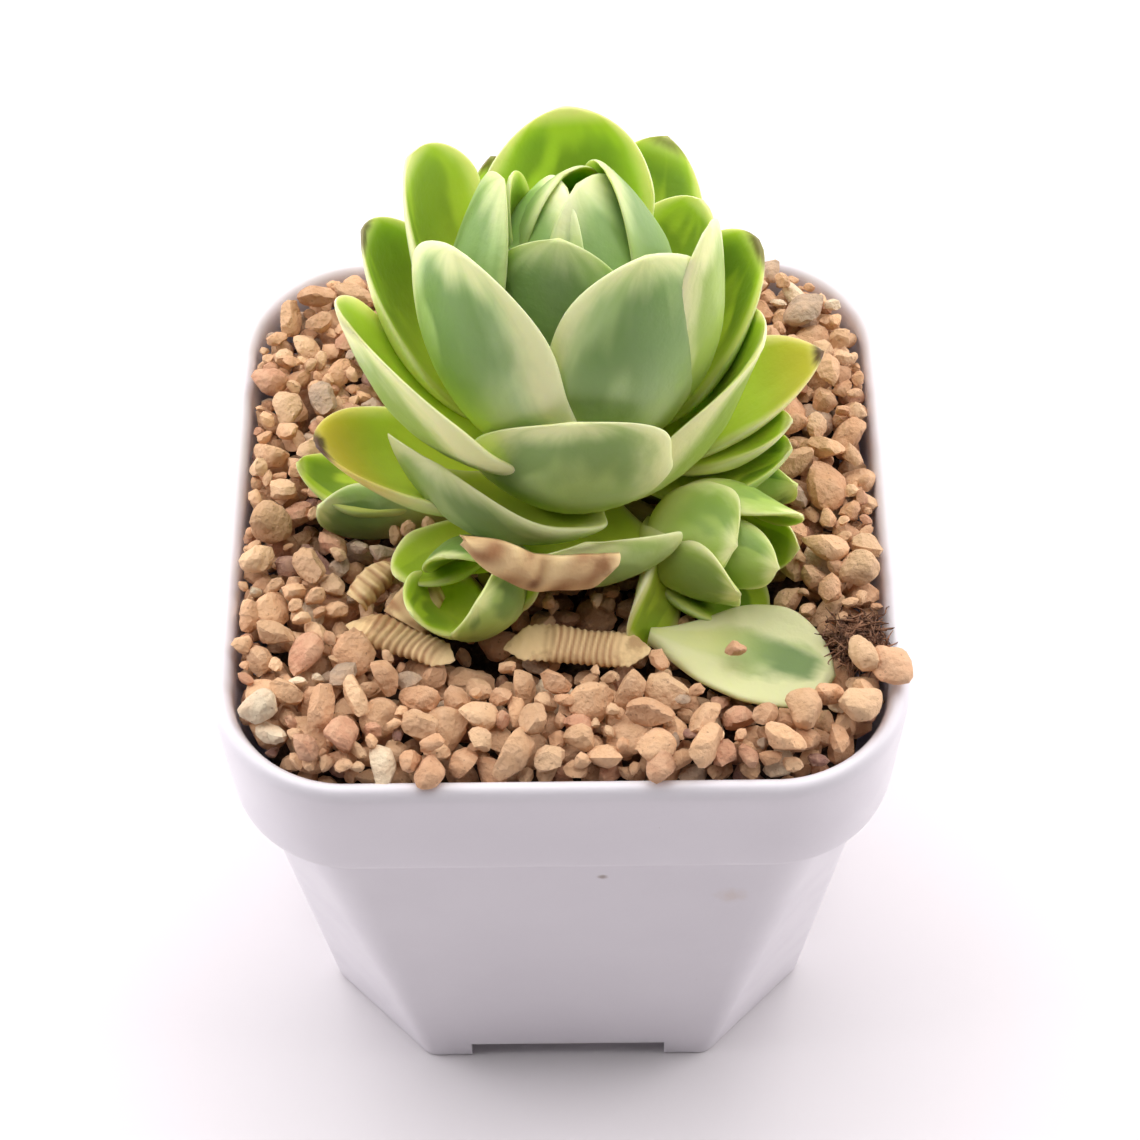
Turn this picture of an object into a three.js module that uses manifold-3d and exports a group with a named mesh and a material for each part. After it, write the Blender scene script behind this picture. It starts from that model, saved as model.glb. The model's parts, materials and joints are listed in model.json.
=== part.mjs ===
// Potted succulent: a variegated rosette with its offsets, growing in a square plastic nursery pot
// that is topped with gravel. Millimetres, +Z up, -Y is the front.
// The origin is the centre of the pot's foot, on the surface that the pot stands on.
import * as THREE from "three";
import { mergeVertices } from "three/addons/utils/BufferGeometryUtils.js";
import Module from "manifold-3d";

const wasm = await Module();
wasm.setup();

// ---- Driving dimensions ----
const GAP = 0.3; // clearance between neighbouring pieces

const POT = {
  height: 71,
  rimHalf: 35, // half the width across the flats, at the rim
  rimCorner: 14,
  bandHeight: 15.6, // the deep collar under the rim
  bandHalf: 34.3, // at the collar's lower edge
  neckHalf: 32.4, // body just under the collar
  neckChamfer: 7.4,
  footHalf: 27.6,
  footChamfer: 11.3,
  wall: 1.6,
  floorLow: 3.2,
  floorHigh: 5.2,
  slotHalf: 11.3, // drainage slot in the middle of each foot edge
  slotHeight: 3.4,
  drainRadius: 3,
};
const SOIL_TOP = 62;
const GRAVEL = { low: SOIL_TOP + GAP, top: 67.2, half: 32.3, mound: 1.4, stone: 0.4 };
const STEM = { low: 56, high: 91, radiusLow: 4.2, radiusHigh: 1.6 };
const RUNNER = { rootHeight: 70, radiusLow: 1.8, radiusHigh: 1.2 };
const DRIED = { steps: 4, sides: 8, flat: 0.7 };
const LEAF = {
  thick: 1.8, // at the midrib
  margin: 0.2, // half the thickness at the blade's edge
  neck: 0.35, // width where the leaf clasps the stem, over its full width
  widest: 0.6, // how far along the leaf it is widest
  blunt: 2.3, // how late the blade narrows towards its tip
  tipRound: 0.62, // 0.5 is a round tip, 1 is a sharp one
  bow: 0.42, // how strongly the midrib keeps its directions at both ends
  steps: 4, // along the leaf
  facets: 4, // across the leaf
};

// ---- Solids ----
const FLAT = 1e-4; // vertices closer than this are one vertex
const TIP = 0.012; // a leaf's last ring is this far from its point

/** A closed solid from a list of points and triangles. */
function solidOf(points, triangles) {
  const soup = new THREE.BufferGeometry();
  const positions = triangles.flatMap((t) => t.flatMap((i) => points[i]));
  soup.setAttribute("position", new THREE.Float32BufferAttribute(positions, 3));
  return solidOfGeometry(soup);
}

/** A closed solid from any three.js geometry. */
function solidOfGeometry(geometry) {
  const bare = geometry.index ? geometry.toNonIndexed() : geometry.clone();
  for (const name of ["normal", "uv"]) bare.deleteAttribute(name);
  const merged = mergeVertices(bare, FLAT);
  const vertProperties = merged.attributes.position.array;
  const corners = merged.index.array;
  const kept = [];
  for (let i = 0; i < corners.length; i += 3) {
    const [a, b, c] = corners.subarray(i, i + 3);
    if (a !== b && b !== c && c !== a) kept.push(a, b, c);
  }
  const triVerts = new Uint32Array(kept);
  const solid = new wasm.Manifold(new wasm.Mesh({ numProp: 3, vertProperties, triVerts }));
  return solid;
}

/** The largest of the separate bodies of a solid, so that a cut never leaves crumbs. */
function largest(solid) {
  return solid.decompose().sort((a, b) => b.volume() - a.volume())[0];
}

function geometryOf(solid) {
  const mesh = solid.getMesh();
  const points = new Float32Array(mesh.numVert * 3);
  for (let i = 0; i < mesh.numVert; i++) {
    points.set(mesh.vertProperties.subarray(i * mesh.numProp, i * mesh.numProp + 3), i * 3);
  }
  const geometry = new THREE.BufferGeometry();
  geometry.setAttribute("position", new THREE.BufferAttribute(points, 3));
  geometry.setIndex(new THREE.BufferAttribute(mesh.triVerts, 1));
  geometry.computeVertexNormals();
  return geometry;
}

/** Skins a stack of closed rings, each with the same even number of points, and caps both ends. */
function skin(rings) {
  const n = rings[0].length;
  const triangles = [];
  for (let k = 0; k + 1 < rings.length; k++) {
    for (let i = 0; i < n; i++) {
      const j = (i + 1) % n;
      const [a, b, c, d] = [k * n + i, k * n + j, (k + 1) * n + j, (k + 1) * n + i];
      triangles.push([a, b, c], [a, c, d]);
    }
  }
  // Each cap is a strip between the ring's two halves, so that it also closes a crescent.
  const top = (rings.length - 1) * n;
  for (let i = 0; i < n / 2 - 1; i++) {
    const [a, b, c, d] = [i, i + 1, n - i - 2, n - i - 1];
    triangles.push([c, b, a], [d, c, a], [top + a, top + b, top + c], [top + a, top + c, top + d]);
  }
  return solidOf(rings.flat(), triangles);
}

// ---- Pot ----
const CORNER_STEPS = 3; // facets in each half of a corner
const FULL_ROUND = 2 - Math.SQRT2; // chamfer over fillet radius where a corner is one round arc

/** A square of half-width half whose corners are cut by a chamfer and blended by a fillet radius. */
function squareRing(half, chamfer, fillet, z) {
  const blend = Math.min(fillet, chamfer / FULL_ROUND);
  const tangent = blend * Math.tan(Math.PI / 8);
  const ring = [];
  for (let corner = 0; corner < 4; corner++) {
    const turn = (corner * Math.PI) / 2;
    for (const side of [0, 1]) {
      // The fillet's centre stands off the flat by the blend, level with where the chamfer starts.
      const along = half - chamfer - tangent;
      const [cx, cy] = side ? [along, half - blend] : [half - blend, along];
      for (let s = 0; s <= CORNER_STEPS; s++) {
        const angle = ((side + s / CORNER_STEPS) * Math.PI) / 4;
        const x = cx + blend * Math.cos(angle);
        const y = cy + blend * Math.sin(angle);
        ring.push([x * Math.cos(turn) - y * Math.sin(turn), x * Math.sin(turn) + y * Math.cos(turn), z]);
      }
    }
  }
  return ring;
}

const mix = (a, b, t) => a + (b - a) * t;

/** The pot body's outline at height z, drawn in by inset. */
function bodyRing(z, inset) {
  const t = z / (POT.height - POT.bandHeight);
  const half = mix(POT.footHalf, POT.neckHalf, t) - inset;
  const chamfer = mix(POT.footChamfer, POT.neckChamfer, t) - inset * FULL_ROUND;
  return squareRing(half, Math.max(chamfer, 1), mix(2.5, 9, t), z);
}

/** The rim's outline at height z, a square with round corners. */
function rimRing(half, z) {
  const corner = POT.rimCorner - (POT.rimHalf - half);
  return squareRing(half, corner * FULL_ROUND, corner, z);
}

function potSolid() {
  const { height, bandHeight, bandHalf, rimHalf, wall, floorLow, floorHigh } = POT;
  const shoulder = height - bandHeight;
  const rings = [
    bodyRing(floorLow, wall + 0.4),
    bodyRing(0, wall),
    bodyRing(0, 0),
    bodyRing(shoulder - 0.4, 0),
    rimRing(bandHalf - 0.5, shoulder),
    rimRing(bandHalf, shoulder + 0.6),
    rimRing(rimHalf, height - 1.6),
    rimRing(rimHalf - 0.4, height - 0.5),
    rimRing(rimHalf - 1, height),
    rimRing(rimHalf - 1.5, height - 0.1),
    rimRing(rimHalf - 1.9, height - 0.8),
    rimRing(rimHalf - 2.2, height - 4),
    bodyRing(shoulder - 2, wall),
    bodyRing(floorHigh, wall),
  ];
  let pot = skin(rings);
  for (let side = 0; side < 4; side++) {
    const slot = new THREE.BoxGeometry(2 * POT.slotHalf, 8, 2 * POT.slotHeight);
    slot.translate(0, -POT.footHalf, 0);
    slot.rotateZ((side * Math.PI) / 2);
    pot = pot.subtract(solidOfGeometry(slot));
  }
  for (const [x, y] of [[0, 0], [12, 12], [-12, 12], [-12, -12], [12, -12]]) {
    const drain = new THREE.CylinderGeometry(POT.drainRadius, POT.drainRadius, 8, 16);
    drain.rotateX(Math.PI / 2);
    drain.translate(x, y, POT.floorLow);
    pot = pot.subtract(solidOfGeometry(drain));
  }
  return pot;
}

function soilSolid() {
  const clear = POT.wall + GAP;
  const low = POT.floorHigh + GAP;
  const neck = POT.height - POT.bandHeight - 2.5;
  return skin([bodyRing(low, clear), bodyRing(neck, clear), squareRing(POT.rimHalf - 4.6, 5.8, 9, SOIL_TOP)]);
}

const GRAVEL_RINGS = 7;

/** The height of the gravel's surface: a low mound round the plant, rough with stones. */
function gravelHeight(x, y) {
  const mound = GRAVEL.mound * Math.exp(-(x * x + y * y) / 400);
  const stones = Math.sin(x * 1.9 + 1.3 * Math.sin(y * 1.1)) * Math.sin(y * 1.7 + 1.1 * Math.cos(x * 1.3));
  return GRAVEL.top + mound + GRAVEL.stone * stones;
}

/** The gravel layer; lift raises its surface. */
function gravelSolid(lift = 0) {
  const outline = (z, t) => rimRing(GRAVEL.half, z).map(([x, y]) => [x * t, y * t, z]);
  const rings = [outline(GRAVEL.low, 0.94), outline(GRAVEL.top - 1.2 + lift, 1)];
  for (let k = GRAVEL_RINGS; k > 0; k--) {
    const t = (k / GRAVEL_RINGS) * 0.985;
    rings.push(outline(0, t).map(([x, y]) => [x, y, gravelHeight(x, y) + lift]));
  }
  return skin(rings);
}

// ---- Plant ----
const RADIAN = Math.PI / 180;
const cross = (a, b) => new THREE.Vector3().crossVectors(a, b);
const vector = (x, y, z) => new THREE.Vector3(x, y, z);

/** The crown of the main rosette: its stem leans a little to the back as it rises. */
const MAIN = { at: vector(2, 3, 70), u: vector(1, 0, 0), v: vector(0, 1, 0), w: vector(0, 0.2, 1) };

/** A smaller crown at a point, its axis w turned to a heading and raised; u is its upper side. */
function crown(x, y, z, heading, rise) {
  const [h, e] = [heading * RADIAN, rise * RADIAN];
  const w = vector(Math.cos(e) * Math.cos(h), Math.cos(e) * Math.sin(h), Math.sin(e));
  const u = vector(-Math.sin(e) * Math.cos(h), -Math.sin(e) * Math.sin(h), Math.cos(e));
  return { at: vector(x, y, z), u, v: cross(w, u), w };
}

const OFFSET_FRONT_RIGHT = crown(10.5, -3, 72, 322, 20);
const OFFSET_FRONT_LEFT = crown(-7.5, -9.5, 71, 240, 50);
const OFFSET_RIGHT = crown(13, 1, 72, 350, 20);
const OFFSET_LEFT = crown(-13, 0.5, 71.5, 195, 15);

/**
 * The leaves, from the heart outwards. Each row gives the leaf's heading round its crown's axis; where
 * its midrib starts and ends, as [radius, height] from that axis; its slope at the start and at the
 * end; half its width; how far its blade curls to each side of the midrib; and what differs from LEAF.
 */
const MAIN_LEAVES = [
  ["heart_leaf_left", 205, [2.4, 18], [0.6, 37], 20, 130, 9.8, 80, { tipRound: 0.62, bow: 0.46 }],
  ["heart_leaf_right", 328, [2.5, 18], [0.4, 38], 15, 134, 11, 85, { tipRound: 0.55, bow: 0.47 }],
  ["hood_leaf_left", 140, [2.5, 17], [1.5, 38.4], 15, 130, 10, 75, { tipRound: 0.5, bow: 0.47 }],
  ["hood_leaf_right", 20, [2.5, 16], [3.2, 38.7], 5, 125, 10, 65, { bow: 0.48 }],
  ["bud_leaf_left", 196, [3, 14], [7, 40.5], 0, 120, 8.5, 50, { bow: 0.5 }],
  ["bud_leaf_back", 165, [2, 15], [6.3, 37.8], 50, 100, 6, 60],
  ["bud_leaf_front", 257, [2.5, 15], [7, 38], 15, 110, 9.8, 50, { blunt: 2.8 }],
  ["inner_leaf_front_left", 232, [3, 12], [14, 39], 5, 100, 11.6, 50, { sweep: -3.6, blunt: 2.7 }],
  ["inner_leaf_front_right", 289, [3, 12], [11.5, 38.8], 5, 105, 10.7, 50, { sweep: 3, blunt: 3.2 }],
  ["inner_leaf_back", 95, [3, 14], [11, 37.7], 40, 80, 10.5, 40, { blunt: 2.8 }],
  ["inner_leaf_back_left", 165, [3, 13], [16.8, 37.6], 30, 85, 10, 50, { blunt: 3 }],
  ["inner_leaf_right", 336, [3, 12], [13.8, 38.3], 15, 95, 8.5, 50],
  ["inner_leaf_back_right", 32, [3, 12], [15, 29], 30, 80, 8, 50],
  ["inner_leaf_behind", 122, [3, 11], [16, 29.6], 30, 80, 7.5, 50],
  ["middle_leaf_left", 213, [3, 10], [24, 31.8], 8, 75, 11.3, 50, { sweep: -4 }],
  ["middle_leaf_back_left", 170, [3, 9], [21.3, 30], 20, 80, 9, 50],
  ["middle_leaf_back_right", 62, [3, 8], [20, 28.3], 20, 70, 9, 50],
  ["middle_leaf_right_back", 18, [3, 8], [19.2, 26], 20, 70, 9.5, 50],
  ["middle_leaf_front", 263, [3, 7], [16, 25], -5, 90, 12.6, 48,
    { sweep: 1.5, blunt: 3.2, tipRound: 0.5, skew: 0.14 }],
  ["middle_leaf_right", 335, [3, 6], [19, 24.6], 0, 66, 12.2, 52, { sweep: 2 }],
  ["middle_leaf_front_left", 240, [3, 6], [19, 17.8], -10, 105, 11.8, 45,
    { sweep: -4.5, blunt: 3.2, tipRound: 0.5, skew: -0.18 }],
  ["outer_leaf_back_left", 140, [3, 6], [22.5, 18.5], 15, 65, 9, 50],
  ["outer_leaf_back", 88, [3, 6], [23, 20], 15, 65, 9, 50],
  ["outer_leaf_left", 203, [3, 5], [28, 17.5], 0, 50, 8.5, 55],
  ["outer_leaf_right", 4, [3, 5], [25, 16], 15, 40, 7.5, 45, { tipRound: 0.8 }],
  ["outer_leaf_back_right", 52, [3, 4], [22.5, 15], 10, 60, 8.5, 50],
  ["outer_leaf_front", 272, [3, 2.4], [18, 11.7], -10, 105, 12, 45, { widest: 0.65, blunt: 3, skew: 0.16 }],
  ["outer_leaf_low_back", 112, [3, 3], [27, 12], 5, 50, 8.5, 50],
];
const RIGHT_OFFSET_LEAVES = [
  ["right_offset_leaf_1", 348, [6, 6], [22, 13.5], 10, 50, 4.5, 50],
  ["right_offset_leaf_2", 345, [6, 4], [22.3, 11], 0, 50, 6, 50],
  ["right_offset_leaf_3", 345, [8, 3], [23, 6.5], 10, 30, 4.3, 55, { roll: -95, blunt: 3 }],
];
const LEFT_OFFSET_LEAVES = [
  ["left_offset_leaf_1", 195, [10, 2], [27.5, 5.5], 5, 40, 4.2, 50, { roll: 105, blunt: 3.4 }],
  ["left_offset_leaf_2", 188, [12, 2], [29, 8], 0, 60, 4.5, 50],
];
const FRONT_RIGHT_OFFSET_LEAVES = [
  ["front_right_offset_leaf_1", 60, [1, 2], [1.5, 16.5], 20, 100, 5, 60],
  ["front_right_offset_leaf_2", 35, [1, 1], [4.5, 13], 15, 95, 7, 55],
  ["front_right_offset_leaf_3", 310, [1, 1], [5, 16.5], 20, 85, 5, 55],
  ["front_right_offset_leaf_4", 95, [1, 0], [5, 14], 10, 90, 6, 50],
  ["front_right_offset_leaf_5", 162, [1, 0], [8, 12.8], 10, 85, 6.5, 50],
  ["front_right_offset_leaf_6", 240, [1, 0], [5, 14], 10, 85, 5.5, 50],
  ["front_right_offset_leaf_7", 105, [1, 1], [13.5, 5], 20, 0, 5, 45],
];
const FRONT_LEFT_WING = [["front_left_offset_leaf_5", 221, [10, 2.5], [24.4, 5.5], 10, 30, 4.5, 40]];
const FRONT_LEFT_OFFSET_LEAVES = [
  ["front_left_offset_leaf_1", 10, [1, 1], [3, 11], 10, 90, 5, 50],
  ["front_left_offset_leaf_2", 130, [1, 0], [4.5, 11], 0, 95, 5.5, 55],
  ["front_left_offset_leaf_3", 240, [1, 0], [4, 11], 0, 100, 7, 60],
  ["front_left_offset_leaf_4", 285, [1, 0], [7, 5], 10, 50, 4, 40],
];
// A leaf lying face up: its crown's axis points along it, so it grows straight up that axis.
const FALLEN_LEAF = [
  crown(9, -16, 70.6, 345, 0),
  ["fallen_leaf", 180, [0, 0], [0.4, 19], 85, 95, 6.8, 25, { blunt: 2.8 }],
];
const DRIED_LEAVES = [
  { name: "dried_leaf_left", at: [-21, -13.5, 70.8], heading: 333, tilt: 0, length: 11, half: 2, waist: -0.1 },
  { name: "dried_leaf_front", at: [-5, -17, 70.8], heading: 358, tilt: 0, length: 14, half: 2.3, waist: -0.15 },
  { name: "dried_leaf_rolled", at: [-21, -11, 71.4], heading: 58, tilt: 12, length: 6, half: 2, waist: 0 },
];
const STONES = [
  { name: "stone_on_rim", at: [32.3, -21.5, 72.7], size: [5, 5.4, 3.2], turn: 20 },
  { name: "stone_front_left", at: [-12.8, -32.5, 72.2], size: [3.4, 4.6, 2.2], turn: -25 },
  { name: "stone_front_right", at: [9.5, -32.5, 72.2], size: [3.4, 4.6, 2.2], turn: 5 },
];
const RUNNERS = {
  stem_of_front_right_offset: OFFSET_FRONT_RIGHT,
  stem_of_front_left_offset: OFFSET_FRONT_LEFT,
  stem_of_right_offset: OFFSET_RIGHT,
  stem_of_left_offset: OFFSET_LEFT,
};
const CROWNS = [
  { crown: MAIN, leaves: MAIN_LEAVES },
  { crown: OFFSET_FRONT_RIGHT, leaves: FRONT_RIGHT_OFFSET_LEAVES },
  { crown: OFFSET_FRONT_LEFT, leaves: FRONT_LEFT_OFFSET_LEAVES },
  { crown: MAIN, leaves: RIGHT_OFFSET_LEAVES },
  { crown: MAIN, leaves: LEFT_OFFSET_LEAVES },
  { crown: MAIN, leaves: FRONT_LEFT_WING },
];

/** Half the leaf's width at s, from 0 at the stem to 1 at the tip, over its greatest half-width. */
function leafProfile(s, shape) {
  if (s < shape.widest) {
    const swell = Math.sin(((s / shape.widest) * Math.PI) / 2) ** 1.1;
    return mix(shape.neck, 1, swell);
  }
  const t = (s - shape.widest) / (1 - shape.widest);
  return Math.max(0, 1 - t ** shape.blunt) ** shape.tipRound;
}

/** The midrib's place and slope at s: a cubic curve in the plane of the crown's axis. */
function midrib(from, to, rise, lift, bow, s) {
  const reach = Math.hypot(to[0] - from[0], to[1] - from[1]) * bow;
  const [a, b] = [rise * RADIAN, lift * RADIAN];
  const curve = new THREE.CubicBezierCurve(
    new THREE.Vector2(...from),
    new THREE.Vector2(from[0] + reach * Math.cos(a), from[1] + reach * Math.sin(a)),
    new THREE.Vector2(to[0] - reach * Math.cos(b), to[1] - reach * Math.sin(b)),
    new THREE.Vector2(...to),
  );
  return { place: curve.getPoint(s), slope: curve.getTangent(s) };
}

/** A leaf as a closed solid, or the same leaf a little larger all round. */
function leafSolid(at, [, heading, from, to, rise, lift, half, cup, more], grow = 0) {
  const shape = { ...LEAF, sweep: 0, skew: 0, roll: 0, ...more };
  const turn = heading * RADIAN;
  const out = at.u.clone().multiplyScalar(Math.cos(turn)).addScaledVector(at.v, Math.sin(turn));
  const side = at.u.clone().multiplyScalar(-Math.sin(turn)).addScaledVector(at.v, Math.cos(turn));
  const radius = half / (cup * RADIAN); // of the blade's curl
  const rings = [];
  for (let k = 0; k <= shape.steps; k++) {
    const s = 1 - (1 - k / shape.steps) ** 1.3 * (1 - TIP) - TIP;
    const { place, slope } = midrib(from, to, rise, lift, shape.bow, s);
    const along = out.clone().multiplyScalar(slope.x).addScaledVector(at.w, slope.y).normalize();
    const normal = cross(along, side).normalize();
    const roll = shape.roll * RADIAN;
    const inward = normal.clone().multiplyScalar(Math.cos(roll)).addScaledVector(side, -Math.sin(roll));
    const rib = side.clone().multiplyScalar(Math.cos(roll)).addScaledVector(normal, Math.sin(roll));
    const centre = at.at.clone().addScaledVector(at.w, place.y).addScaledVector(out, place.x);
    centre.addScaledVector(side, shape.sweep * s * s);
    if (k === 0) centre.addScaledVector(along, -2 * grow);
    if (k === shape.steps) centre.addScaledVector(along, 2 * grow);
    const width = half * leafProfile(s, shape) + grow;
    const thick = (shape.thick / 2) * Math.min(1, 2.2 * (1 - s) + 0.3);
    const ring = [];
    for (let j = 0; j < 2 * (shape.facets + 1); j++) {
      const outer = j <= shape.facets;
      const across = outer ? j : 2 * shape.facets + 1 - j;
      const u = (2 * across) / shape.facets - 1;
      const angle = (u * width) / radius;
      const swell = mix(shape.margin, thick, Math.sqrt(1 - u * u)) + grow;
      const reach = radius + (outer ? 1 : -1) * swell;
      const point = centre.clone().addScaledVector(inward, radius - reach * Math.cos(angle));
      point.addScaledVector(along, shape.skew * u * width);
      ring.push(point.addScaledVector(rib, reach * Math.sin(angle)).toArray());
    }
    rings.push(ring);
  }
  return skin(rings);
}

/** A round stem from one point to another, tapering from radius r0 to r1. */
function stemSolid(p0, p1, r0, r1) {
  const stem = new THREE.CylinderGeometry(r1, r0, p0.distanceTo(p1), 10);
  const direction = p1.clone().sub(p0).normalize();
  stem.applyQuaternion(new THREE.Quaternion().setFromUnitVectors(vector(0, 1, 0), direction));
  stem.translate(...p0.clone().add(p1).divideScalar(2).toArray());
  return solidOfGeometry(stem);
}

/** The point on the main stem's axis at height z. */
function stemPoint(z) {
  return MAIN.at.clone().addScaledVector(MAIN.w, z - MAIN.at.z);
}

/** The main stem, grown by a clearance if wanted. */
function mainStem(grow = 0) {
  const [low, high] = [stemPoint(STEM.low - grow), stemPoint(STEM.high + grow)];
  return stemSolid(low, high, STEM.radiusLow + grow, STEM.radiusHigh + grow);
}

/** The runner from the main stem to an offset's crown, grown by a clearance if wanted. */
function runner(end, grow = 0) {
  const start = stemPoint(RUNNER.rootHeight);
  const direction = end.clone().sub(start).normalize();
  const tip = end.clone().addScaledVector(direction, grow);
  return stemSolid(start, tip, RUNNER.radiusLow + grow, RUNNER.radiusHigh + grow);
}

// ---- Ground ----

/** A shrivelled leaf lying on the gravel: a wrinkled spindle along a heading, grown if wanted. */
function driedSolid({ at, heading, tilt, length, half, waist }, grow = 0) {
  const axis = crown(...at, heading, tilt);
  const rings = [];
  for (let k = 0; k <= DRIED.steps; k++) {
    const s = k / DRIED.steps;
    const taper = Math.sin(Math.PI * mix(0.12, 0.88, s)) ** 0.5;
    const wide = half * taper * (1 + waist * Math.cos(2 * Math.PI * s)) + grow;
    const centre = axis.at.clone().addScaledVector(axis.w, length * s + (s < 0.5 ? -grow : grow));
    const ring = [];
    for (let j = 0; j < DRIED.sides; j++) {
      const angle = (-2 * Math.PI * j) / DRIED.sides;
      const point = centre.clone().addScaledVector(axis.v, wide * Math.cos(angle));
      ring.push(point.addScaledVector(axis.u, DRIED.flat * wide * Math.sin(angle)).toArray());
    }
    rings.push(ring);
  }
  return skin(rings);
}

/** A loose stone: a squashed twenty-faced lump. */
function stoneSolid({ at, size, turn }) {
  const stone = new THREE.IcosahedronGeometry(0.5, 0);
  stone.scale(...size);
  stone.rotateZ(turn * RADIAN);
  stone.translate(...at);
  return solidOfGeometry(stone);
}

// ---- Assembly ----
const COLOURS = {
  pot: { color: "#dcd9df", roughness: 0.35 },
  soil: { color: "#4a3526", roughness: 1 },
  gravel: { color: "#c59c7a", roughness: 0.95 },
  stem: { color: "#a8b07a", roughness: 0.7 },
  heart: { color: "#a4bf8c", roughness: 0.5 },
  leaf: { color: "#b3c887", roughness: 0.5 },
  dried: { color: "#d8bf95", roughness: 0.85 },
};
const group = new THREE.Group();
const taken = []; // solids that later pieces keep clear of

function addPiece(name, solid, finish) {
  const material = new THREE.MeshStandardMaterial({ ...COLOURS[finish], metalness: 0 });
  const mesh = new THREE.Mesh(geometryOf(solid), material);
  mesh.name = name;
  group.add(mesh);
}

/** Adds a piece that gives way to those before it, and claims the space of its grown copy. */
function addFitted(name, solid, grown, finish) {
  const free = taken.reduce((rest, other) => rest.subtract(other), solid);
  addPiece(name, largest(free), finish);
  taken.push(grown);
}

addPiece("pot", potSolid(), "pot");
addFitted("stem", mainStem(), mainStem(GAP), "stem");
for (const [name, crownOf] of Object.entries(RUNNERS)) {
  addFitted(name, runner(crownOf.at), runner(crownOf.at, GAP), "stem");
}
addFitted("soil", soilSolid(), soilSolid(), "soil");
addFitted("gravel_bed", gravelSolid(), gravelSolid(GAP), "gravel");
for (const { crown: at, leaves } of CROWNS) {
  for (const leaf of leaves) {
    const finish = leaf[0].startsWith("heart") ? "heart" : "leaf";
    addFitted(leaf[0], leafSolid(at, leaf), leafSolid(at, leaf, GAP), finish);
  }
}
addFitted("fallen_leaf", leafSolid(...FALLEN_LEAF), leafSolid(...FALLEN_LEAF, GAP), "leaf");
for (const dried of DRIED_LEAVES) addFitted(dried.name, driedSolid(dried), driedSolid(dried, GAP), "dried");
for (const stone of STONES) addPiece(stone.name, stoneSolid(stone), "gravel");

export default group;
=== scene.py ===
import json
import math

import bmesh
import bpy
import numpy as np
from mathutils import Matrix, Vector

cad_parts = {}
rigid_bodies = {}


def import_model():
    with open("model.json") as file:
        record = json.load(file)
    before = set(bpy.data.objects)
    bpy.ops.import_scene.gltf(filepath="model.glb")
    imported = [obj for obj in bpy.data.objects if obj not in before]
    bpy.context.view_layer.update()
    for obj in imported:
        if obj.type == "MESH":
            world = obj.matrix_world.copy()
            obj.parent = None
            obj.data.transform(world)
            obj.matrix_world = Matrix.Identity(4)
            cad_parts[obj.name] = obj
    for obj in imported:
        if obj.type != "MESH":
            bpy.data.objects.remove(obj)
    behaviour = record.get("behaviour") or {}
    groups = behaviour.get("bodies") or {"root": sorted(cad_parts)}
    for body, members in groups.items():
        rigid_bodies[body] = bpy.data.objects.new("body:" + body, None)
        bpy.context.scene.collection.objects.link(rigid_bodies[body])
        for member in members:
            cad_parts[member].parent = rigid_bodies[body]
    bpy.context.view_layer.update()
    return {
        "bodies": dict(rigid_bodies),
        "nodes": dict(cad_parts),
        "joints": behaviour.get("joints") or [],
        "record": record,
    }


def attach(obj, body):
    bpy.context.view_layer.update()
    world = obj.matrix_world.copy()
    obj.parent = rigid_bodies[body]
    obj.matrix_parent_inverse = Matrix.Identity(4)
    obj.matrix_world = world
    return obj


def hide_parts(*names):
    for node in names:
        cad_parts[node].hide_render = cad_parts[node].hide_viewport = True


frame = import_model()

MM = 0.001
scene = bpy.context.scene
scene.view_settings.view_transform = "Standard"
scene.view_settings.look = "None"

# ---- Studio ----
# A pale floor under soft light: a wide lamp overhead and behind, a weaker one from each side, and a white
# surround that is dim on the camera's side and bright beyond the pot. The floor glows more the farther it is
# from the pot: painted light, which leaves a painted shadow round the pot. The camera looks down from the
# front.
CAMERA = {"lens": 93.2, "distance": 316.15, "pitch": 54.37, "turn": 0.45, "roll": -0.97}
CAMERA_AIM = (0.96, 0, 59.61)


def aim_camera():
    """A camera at a distance from its aim, raised by pitch, turned about Z and rolled."""
    data = bpy.data.cameras.new("camera")
    data.lens = CAMERA["lens"]
    data.clip_start = 0.01
    camera = bpy.data.objects.new("camera", data)
    scene.collection.objects.link(camera)
    pitch, turn, roll = (math.radians(CAMERA[key]) for key in ("pitch", "turn", "roll"))
    level = math.cos(pitch)
    back = Vector((math.sin(turn) * level, -math.cos(turn) * level, math.sin(pitch)))
    across = Vector((0, 0, 1)).cross(back).normalized()
    rotation = Matrix((across, back.cross(across), back)).transposed()
    rotation = rotation @ Matrix.Rotation(roll, 3, "Z")
    place = (Vector(CAMERA_AIM) + back * CAMERA["distance"]) * MM
    camera.matrix_world = Matrix.Translation(place) @ rotation.to_4x4()
    scene.camera = camera


def area_lamp(name, place, size, power, colour):
    """A square lamp at a place in millimetres that faces the pot."""
    data = bpy.data.lights.new(name, "AREA")
    data.size = size * MM
    data.energy = power
    data.color = colour
    lamp = bpy.data.objects.new(name, data)
    scene.collection.objects.link(lamp)
    lamp.location = Vector(place) * MM
    lamp.rotation_euler = (Vector((0, 0, 60)) - Vector(place)).to_track_quat("-Z", "Y").to_euler()


def new_material(name, **values):
    """A material whose Principled shader has constant values, by input name."""
    material = bpy.data.materials.new(name)
    material.use_nodes = True
    shader = material.node_tree.nodes["Principled BSDF"]
    for key, value in values.items():
        shader.inputs[key.replace("_", " ")].default_value = value
    return material, material.node_tree, shader


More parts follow.
